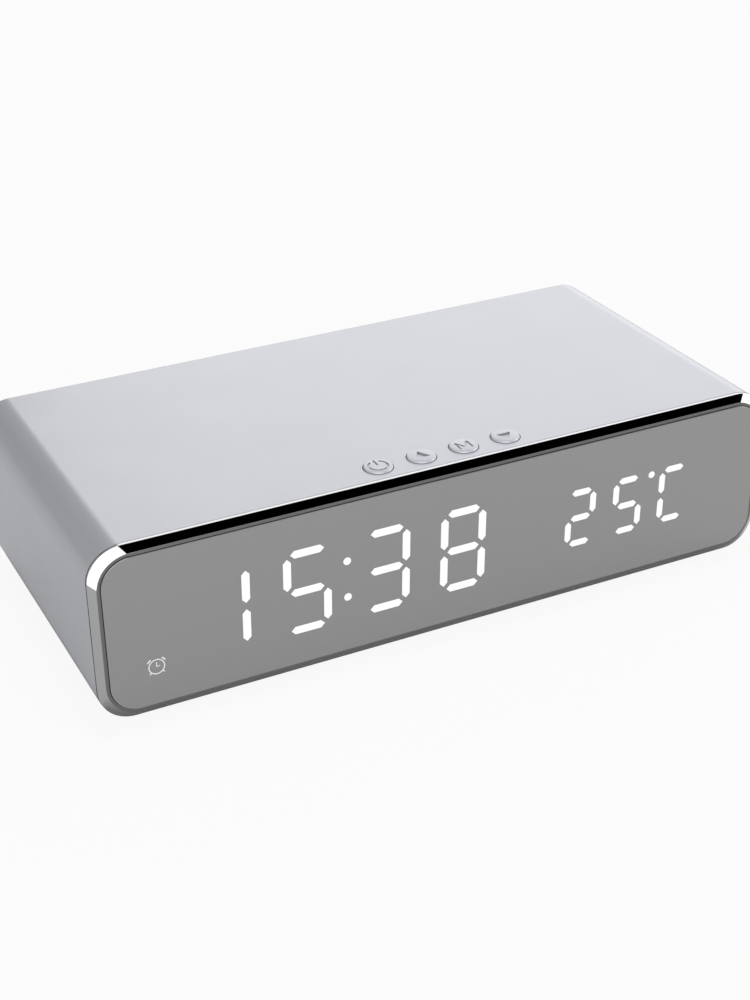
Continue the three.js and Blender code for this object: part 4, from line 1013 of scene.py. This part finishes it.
def buttons():
    """Caps alike but for their marks: bevelled discs on flanges that hold them under the top wall."""
    stem_foot, top = BUTTON_LOW.z, BUTTON_HIGH.z
    flange_top = TOP_Z - WALL - FLANGE_GAP
    flange_bottom = flange_top - FLANGE_THICKNESS
    bevel_foot = top - CAP_BEVEL_DOWN
    plain_cap = turned("plain_cap", [
        (0, stem_foot), (STEM_R, stem_foot), (STEM_R, flange_bottom), (FLANGE_R, flange_bottom),
        (FLANGE_R, flange_top), (BUTTON_R, flange_top), (BUTTON_R, bevel_foot),
        (BUTTON_R - CAP_BEVEL_IN, top), (0, top)])
    soften(plain_cap, CAP_EDGE_ROUND, angle=CAP_SHARP)
    plain_cap.data.materials.append(SILVER)
    # The bevel faces take a lighter copy of the silver paint, a painted highlight round each cap
    plain_cap.data.materials.append(painted_highlight_edge())
    for face in plain_cap.data.polygons:
        face.material_index = int(face.center.z > bevel_foot and face.normal.z < CAP_LEVEL)
    for name, place in BUTTONS.items():
        cap = copy_to(plain_cap, f"{name}_button_cap", (place.x, place.y, 0))
        for tool in mark_tools(name, Vector((place.x, place.y, top))):
            carve(cap, tool)
        smooth(cap, CAP_SHARP)
        dress(cap, "silver_paint", f"{name}_button", body=f"{name}_key")
    bpy.data.objects.remove(plain_cap)


# Back of the clock


def board_shelves(cover):
    """Adds the two ribbed shelves under the main board, each with its screw hole."""
    half = SHELF_HALF_WIDTH
    root = COVER_FRONT + COVER_THICKNESS / 2
    shelf_low = BOARD_LOW.z - SHELF_THICKNESS
    rib_low = shelf_low - SHELF_RIB_DROP
    for number in (1, 2):
        x, y, _ = middle(f"main_board_screw_{number}")
        out = x + math.copysign(half, x)
        left, right = sorted((out, out - math.copysign(SHELF_RIB_WIDTH, x)))
        shelf = block((x - half, BOARD_LOW.y, shelf_low), (x + half, root, BOARD_LOW.z))
        rib = block((left, BOARD_LOW.y, rib_low), (right, root, shelf_low + OVERLAP))
        carve(cover, shelf, rib, operation="UNION")
        hole_start = (x, y, shelf_low - OVERLAP)
        carve(cover, rod(SCREW_HOLE_R, hole_start, SHELF_THICKNESS + 2 * OVERLAP, segments=HOLE_SEGMENTS))


def cover_openings(cover):
    """Cuts the sunk screw holes, the inlet's opening, the vent slots and the sound holes."""
    cut_front = COVER_FRONT - OVERLAP
    through = COVER_THICKNESS + 2 * OVERLAP
    for place in REAR_SCREWS:
        hole_start = (place.x, cut_front, place.z)
        sink_start = (place.x, COVER_HIGH.y - COUNTERBORE, place.z)
        carve(cover, rod(SCREW_HOLE_R, hole_start, through, TOWARDS_BACK, HOLE_SEGMENTS))
        carve(cover, rod(HEAD_HOLE_R, sink_start, through, TOWARDS_BACK, HEAD_SEGMENTS))
    inlet_size = (SHELL_HIGH.x - SHELL_LOW.x + 2 * INLET_GAP, SHELL_HIGH.z - SHELL_LOW.z + 2 * INLET_GAP)
    inlet_r = inlet_size[1] * FULL_ROUND
    carve(cover, plate("inlet_hole", inlet_size, inlet_r, cut_front, through, (0, INLET_Z), INLET_SEGMENTS))
    holes_z = BOARD_HIGH.z + HOLES_RISE
    slot_r = VENT_WIDTH * FULL_ROUND
    slot = plate("slot", (VENT_WIDTH, VENT_LENGTH), slot_r, cut_front, through, (0, 0), SLOT_SEGMENTS)
    vent_x = middle("temperature_sensor").x - VENT_PITCH * (VENT_COUNT - 1) / 2
    carve(cover, *(copy_to(slot, "vent", (vent_x + i * VENT_PITCH, 0, holes_z)) for i in range(VENT_COUNT)))
    hole = rod(SOUND_HOLE_R, (0, cut_front, 0), through, TOWARDS_BACK, SMALL_SEGMENTS)
    sound = (middle("buzzer").x, holes_z)
    circle = arc_points(sound, (SOUND_RING_R, SOUND_RING_R), range(0, 360, 360 // SOUND_HOLE_COUNT))
    carve(cover, *(copy_to(hole, "sound_hole", (x, 0, z)) for x, z in [sound, *circle]))
    for model in (slot, hole):
        bpy.data.objects.remove(model)


def rear_cover():
    """The grained plate with its shelves and openings, rounded a little at the back."""
    size = (COVER_HIGH.x - COVER_LOW.x, COVER_HIGH.z - COVER_LOW.z)
    cover = plate("rear_cover_plate", size, COVER_CORNER_R, COVER_FRONT, COVER_THICKNESS)
    board_shelves(cover)
    cover_openings(cover)
    with editing(cover):
        round_edges(cover, lambda p: abs(p.y - COVER_HIGH.y) < NEAR, COVER_ROUND, 2)
    smooth(cover)
    dress(cover, "grey_plastic", "rear_cover")


def rear_screws():
    """Pan-head screws with cross recesses, alike in the four corners."""
    low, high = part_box("rear_screw_1")
    head_r = (high.x - low.x) / 2
    length = high.y - low.y
    shank = length - SCREW_HEAD
    crown = arc_points((0, length - SCREW_CROWN), (head_r, SCREW_CROWN), range(0, 90, 12))
    profile = [(0, 0), (SCREW_POINT_R, 0), (SHANK_R, SCREW_POINT), (SHANK_R, shank), (head_r, shank),
               *crown, (0, length)]
    screw = turned("pan_head_screw", profile, (0, low.y, 0), TOWARDS_BACK, HEAD_SEGMENTS)
    long, wide = RECESS_HALF_LENGTH, RECESS_HALF_WIDTH
    for half_x, half_z in ((long, wide), (wide, long)):
        carve(screw, block((-half_x, high.y - RECESS_DEPTH, -half_z), (half_x, high.y + OVERLAP, half_z)))
    smooth(screw)
    for number, place in enumerate(REAR_SCREWS, 1):
        twin = copy_to(screw, f"rear_screw_{number}_pan_head", (place.x, 0, place.z))
        dress(twin, "steel", f"rear_screw_{number}")
    bpy.data.objects.remove(screw)


def inlet_shell():
    """The power inlet's drawn metal shell."""
    size = (SHELL_HIGH.x - SHELL_LOW.x, SHELL_HIGH.z - SHELL_LOW.z)
    outer_r = size[1] * FULL_ROUND
    bore_r = outer_r - INLET_WALL
    shell = ring("inlet_socket_shell", size, [
        (0, SHELL_LOW.y, outer_r), (0, SHELL_HIGH.y, outer_r),
        (INLET_WALL, SHELL_HIGH.y, bore_r), (INLET_WALL, SHELL_LOW.y, bore_r)], (0, INLET_Z), INLET_SEGMENTS)
    soften(shell, INLET_ROUND, angle=INLET_SHARP)
    smooth(shell)
    dress(shell, "steel", "inlet_shell")


def inlet_tongue():
    """The tongue that carries the inlet's contacts: a thin blade on a thick root."""
    half, thin = (TONGUE_HIGH.x - TONGUE_LOW.x) / 2, TONGUE_HALF
    tongue = block((-half, TONGUE_LOW.y, TONGUE_LOW.z), (half, ROOT_BACK, TONGUE_HIGH.z))
    tongue.name = "inlet_tongue_moulding"
    blade = block((-half, ROOT_BACK - OVERLAP, INLET_Z - thin), (half, TONGUE_HIGH.y, INLET_Z + thin))
    carve(tongue, blade, operation="UNION")
    soften(tongue, INLET_ROUND)
    smooth(tongue)
    dress(tongue, "black_plastic", "inlet_tongue")


def inlet_contacts():
    """The gold pads on both faces of the tongue, as one piece."""
    wide, thick = CONTACT_HALF_WIDTH, CONTACT_HALF
    pad = block((-wide, ROOT_BACK, -thick), (wide, TONGUE_HIGH.y - CONTACT_SETBACK, thick))
    soften(pad, CONTACT_ROUND)
    contacts = []
    for side in (-1, 1):
        for i in range(CONTACT_COUNT):
            x = (i - (CONTACT_COUNT - 1) / 2) * CONTACT_PITCH
            contacts.append(copy_to(pad, "contact", (x, 0, INLET_Z + side * TONGUE_HALF)))
    bpy.data.objects.remove(pad)
    dress(fuse("inlet_contacts", contacts), "copper", finish=gold_contacts())


def rubber_feet():
    """Round feet, alike, with a soft edge and a shallow hollow in the sole."""
    corner = arc_points((FOOT_R - FOOT_ROUND, FOOT_ROUND), (FOOT_ROUND, FOOT_ROUND), range(-90, 1, 15))
    hollow_r = FOOT_R * FOOT_HOLLOW_SHARE
    top = FOOT_HIGH.z
    pad = turned("foot_pad", [
        (0, FOOT_HOLLOW), (hollow_r - FOOT_HOLLOW_SLOPE, FOOT_HOLLOW), (hollow_r, 0), *corner,
        (FOOT_R, top), (0, top)])
    smooth(pad)
    for number, place in enumerate(FEET, 1):
        foot = copy_to(pad, f"rubber_foot_{number}_pad", (place.x, place.y, 0))
        dress(foot, "rubber", f"rubber_foot_{number}")
    bpy.data.objects.remove(pad)


housing_sleeve()
front_bezel()
front_lens()
display_lights()
buttons()
rear_cover()
inlet_shell()
inlet_tongue()
inlet_contacts()
rear_screws()
rubber_feet()

# Every solid that still shows takes its finish from the record's slot
for row in frame["record"]["subparts"]:
    solid = nodes[row["node"]]
    if not solid.hide_render:
        solid.data.materials.clear()
        solid.data.materials.append(FINISHES[row["material_slot"]])


# Stage: floor, light and camera

WORLD_LEVEL = 0.46
CAMERA_PLACE = Vector((-158.235, -321.989, 208.539)) * MM
CAMERA_AIM = Vector((-18.804, -38.4, 37.733)) * MM
CAMERA_ROLL = -0.0143
CAMERA_LENS = 63.6
CAMERA_SENSOR = 36
CAMERA_NEAR = 0.01
FLOOR_FADE = 4 * MM
FLOOR_COLOR = (0.65, 0.65, 0.65)
PAINTED_SHADOW_COLOR = (0.42, 0.42, 0.42)
CAMERA_WHITE = 0.92
MIRROR_WHITE = 0.3
FLOOR_R = 6
WALL_HEIGHT = 2
LAYER_GAP = 0.01
SHEEN = 0.4
STRIP_START = Vector((-130, -87, 0.5)) * MM
STRIP_BEARING = -43.5
STRIP_LENGTH = 1.8
STRIP_WIDTH = 0.5
STRIP_LEVEL = 2.1


def pale_floor():
    """A pale floor, which camera, mirrors and glass see with white mixed in, so that its shadow stays faint.
    Right under the clock its colour is darker, a painted contact shadow, and mirrors see no white there."""
    paint = Paint("pale_floor", FLOOR_COLOR, 0.9, **{"Specular IOR Level": 0.0})
    rays = paint.node("ShaderNodeLightPath")
    seen = Value(paint, rays.outputs["Is Camera Ray"])
    glossy = Value(paint, rays.outputs["Is Glossy Ray"])
    through_glass = Value(paint, rays.outputs["Is Transmission Ray"])
    place = paint.node("ShaderNodeSeparateXYZ", None, {0: paint.place})
    beyond_side = abs(Value(paint, place.outputs["X"])) - WIDTH / 2
    beyond_end = abs(Value(paint, place.outputs["Y"])) - SLEEVE_HIGH.y
    open_floor = (beyond_side.at_least(beyond_end) * (1 / FLOOR_FADE)).at_least(0).at_most(1)
    # Painted contact shadow: the floor's colour darkens right under the clock
    paint.vary(Base_Color=paint.blend(open_floor, PAINTED_SHADOW_COLOR, FLOOR_COLOR))
    white = seen * CAMERA_WHITE + (glossy + through_glass) * open_floor * MIRROR_WHITE
    glow = paint.node("ShaderNodeEmission", None, {"Color": (1, 1, 1), "Strength": 1})
    mix = paint.node("ShaderNodeMixShader", None, {0: white, 1: paint.shader.outputs[0], 2: glow.outputs[0]})
    output = paint.tree.nodes["Material Output"]
    paint.tree.links.new(mix.outputs[0], output.inputs[0])
    return paint.material


def floor():
    """A round floor with an upright wall about it."""
    ground = disc(FLOOR_SEGMENTS, FLOOR_R)
    ground.name = "floor"
    with editing(ground):
        pick_edges(ground, lambda p: True)
        bpy.ops.mesh.extrude_edges_move(TRANSFORM_OT_translate={"value": (0, 0, WALL_HEIGHT)})
    smooth(ground)
    ground.data.materials.append(pale_floor())


def world_light():
    """Even white light from all sides."""
    world = bpy.data.worlds.new("studio")
    world.use_nodes = True
    background = world.node_tree.nodes["Background"]
    background.inputs["Color"].default_value = (1, 1, 1, 1)
    background.inputs["Strength"].default_value = WORLD_LEVEL
    bpy.context.scene.world = world


def around(bearing, rise, distance):
    """A place around the clock: the bearing is in degrees from the front towards the right."""
    flat = math.cos(math.radians(rise)) * distance
    return Vector((flat * math.sin(math.radians(bearing)), -flat * math.cos(math.radians(bearing)),
                   math.sin(math.radians(rise)) * distance))


def area_light(name, size, level):
    """A rectangular light; the level is how bright a mirror shows it, with 1 for white."""
    data = bpy.data.lights.new(name, "AREA")
    data.shape = "RECTANGLE"
    data.size, data.size_y = size
    data.energy = level * math.pi * size[0] * size[1]
    lamp = bpy.data.objects.new(name, data)
    bpy.context.scene.collection.objects.link(lamp)
    return lamp


def soft_box(name, bearing, rise, distance, size, level):
    """A light around the clock, which faces it."""
    lamp = area_light(name, size, level)
    lamp.location = around(bearing, rise, distance)
    lamp.rotation_euler = (-lamp.location).to_track_quat("-Z", "Y").to_euler()
    return lamp


def split_box(name, bearing, rise, distance, size, level):
    """A soft light in three layers alike: one only lights, one shows as a faint sheen in every reflection,
    and one makes up the rest in reflections on all but satin paint, so that the paint has no glare."""
    soft_box(name, bearing, rise, distance, size, level).visible_glossy = False
    sheen = soft_box(f"{name}_sheen", bearing, rise, distance - LAYER_GAP, size, level * SHEEN)
    shine = soft_box(f"{name}_shine", bearing, rise, distance - 2 * LAYER_GAP, size, level * (1 - SHEEN))
    sheen.visible_diffuse = False
    shine.visible_diffuse = False
    painted = bpy.data.collections.new(f"{name}_painted")
    for piece in ("housing_sleeve_shell", *(f"{button}_button_cap" for button in BUTTON_NAMES)):
        painted.objects.link(bpy.data.objects[piece])
    for member in painted.collection_objects:
        member.light_linking.link_state = "EXCLUDE"
    shine.light_linking.receiver_collection = painted


def low_strip():
    """A strip of light that lies on the floor ahead of the left corner and that only the bezel shows."""
    lamp = area_light("low_strip", (STRIP_WIDTH, STRIP_LENGTH), STRIP_LEVEL)
    bearing = math.radians(STRIP_BEARING)
    away = Vector((math.sin(bearing), -math.cos(bearing), 0))
    lamp.location = STRIP_START + away * STRIP_LENGTH / 2
    lamp.rotation_euler = (math.pi, 0, bearing)
    lamp.visible_diffuse = False
    plated = bpy.data.collections.new("plated")
    plated.objects.link(bpy.data.objects["front_bezel_ring"])
    lamp.light_linking.receiver_collection = plated


def flag(name, bearing, rise, distance, size):
    """A black card that faces the clock and that only reflections see."""
    place = around(bearing, rise, distance)
    card = begin(bpy.ops.mesh.primitive_plane_add, size=1, location=place)
    card.name = name
    card.scale = (size[0], size[1], 1)
    card.rotation_euler = (-place).to_track_quat("Z", "Y").to_euler()
    paint = Paint(name, (0, 0, 0), 1.0, **{"Specular IOR Level": 0.0})
    card.data.materials.append(paint.material)
    card.visible_camera = False
    card.visible_diffuse = False
    card.visible_shadow = False


def camera():
    """The photograph's point of view."""
    data = bpy.data.cameras.new("photo_view")
    data.lens = CAMERA_LENS
    data.sensor_width = CAMERA_SENSOR
    data.clip_start = CAMERA_NEAR
    eye = bpy.data.objects.new("photo_view", data)
    eye.location = CAMERA_PLACE
    eye.rotation_mode = "QUATERNION"
    look = (CAMERA_AIM - CAMERA_PLACE).to_track_quat("-Z", "Y")
    eye.rotation_quaternion = look @ Quaternion((0, 0, 1), CAMERA_ROLL)
    bpy.context.scene.collection.objects.link(eye)
    bpy.context.scene.camera = eye


floor()
world_light()
soft_box("back_right_box", bearing=137, rise=22, distance=1.6, size=(1.9, 1.4), level=1.36)
soft_box("top_box", bearing=0, rise=88, distance=1.3, size=(1.2, 1.2), level=0.8)
split_box("front_left_box", bearing=-22, rise=21, distance=1.5, size=(1.8, 1.2), level=2.1)
split_box("right_box", bearing=70, rise=16, distance=1.5, size=(1.2, 0.9), level=2.0)
low_strip()
flag("front_flag", bearing=34, rise=38, distance=1.0, size=(0.75, 0.5))
flag("back_left_flag", bearing=-168, rise=8, distance=1.2, size=(0.34, 0.42))
camera()
bpy.context.scene.view_settings.view_transform = "Standard"
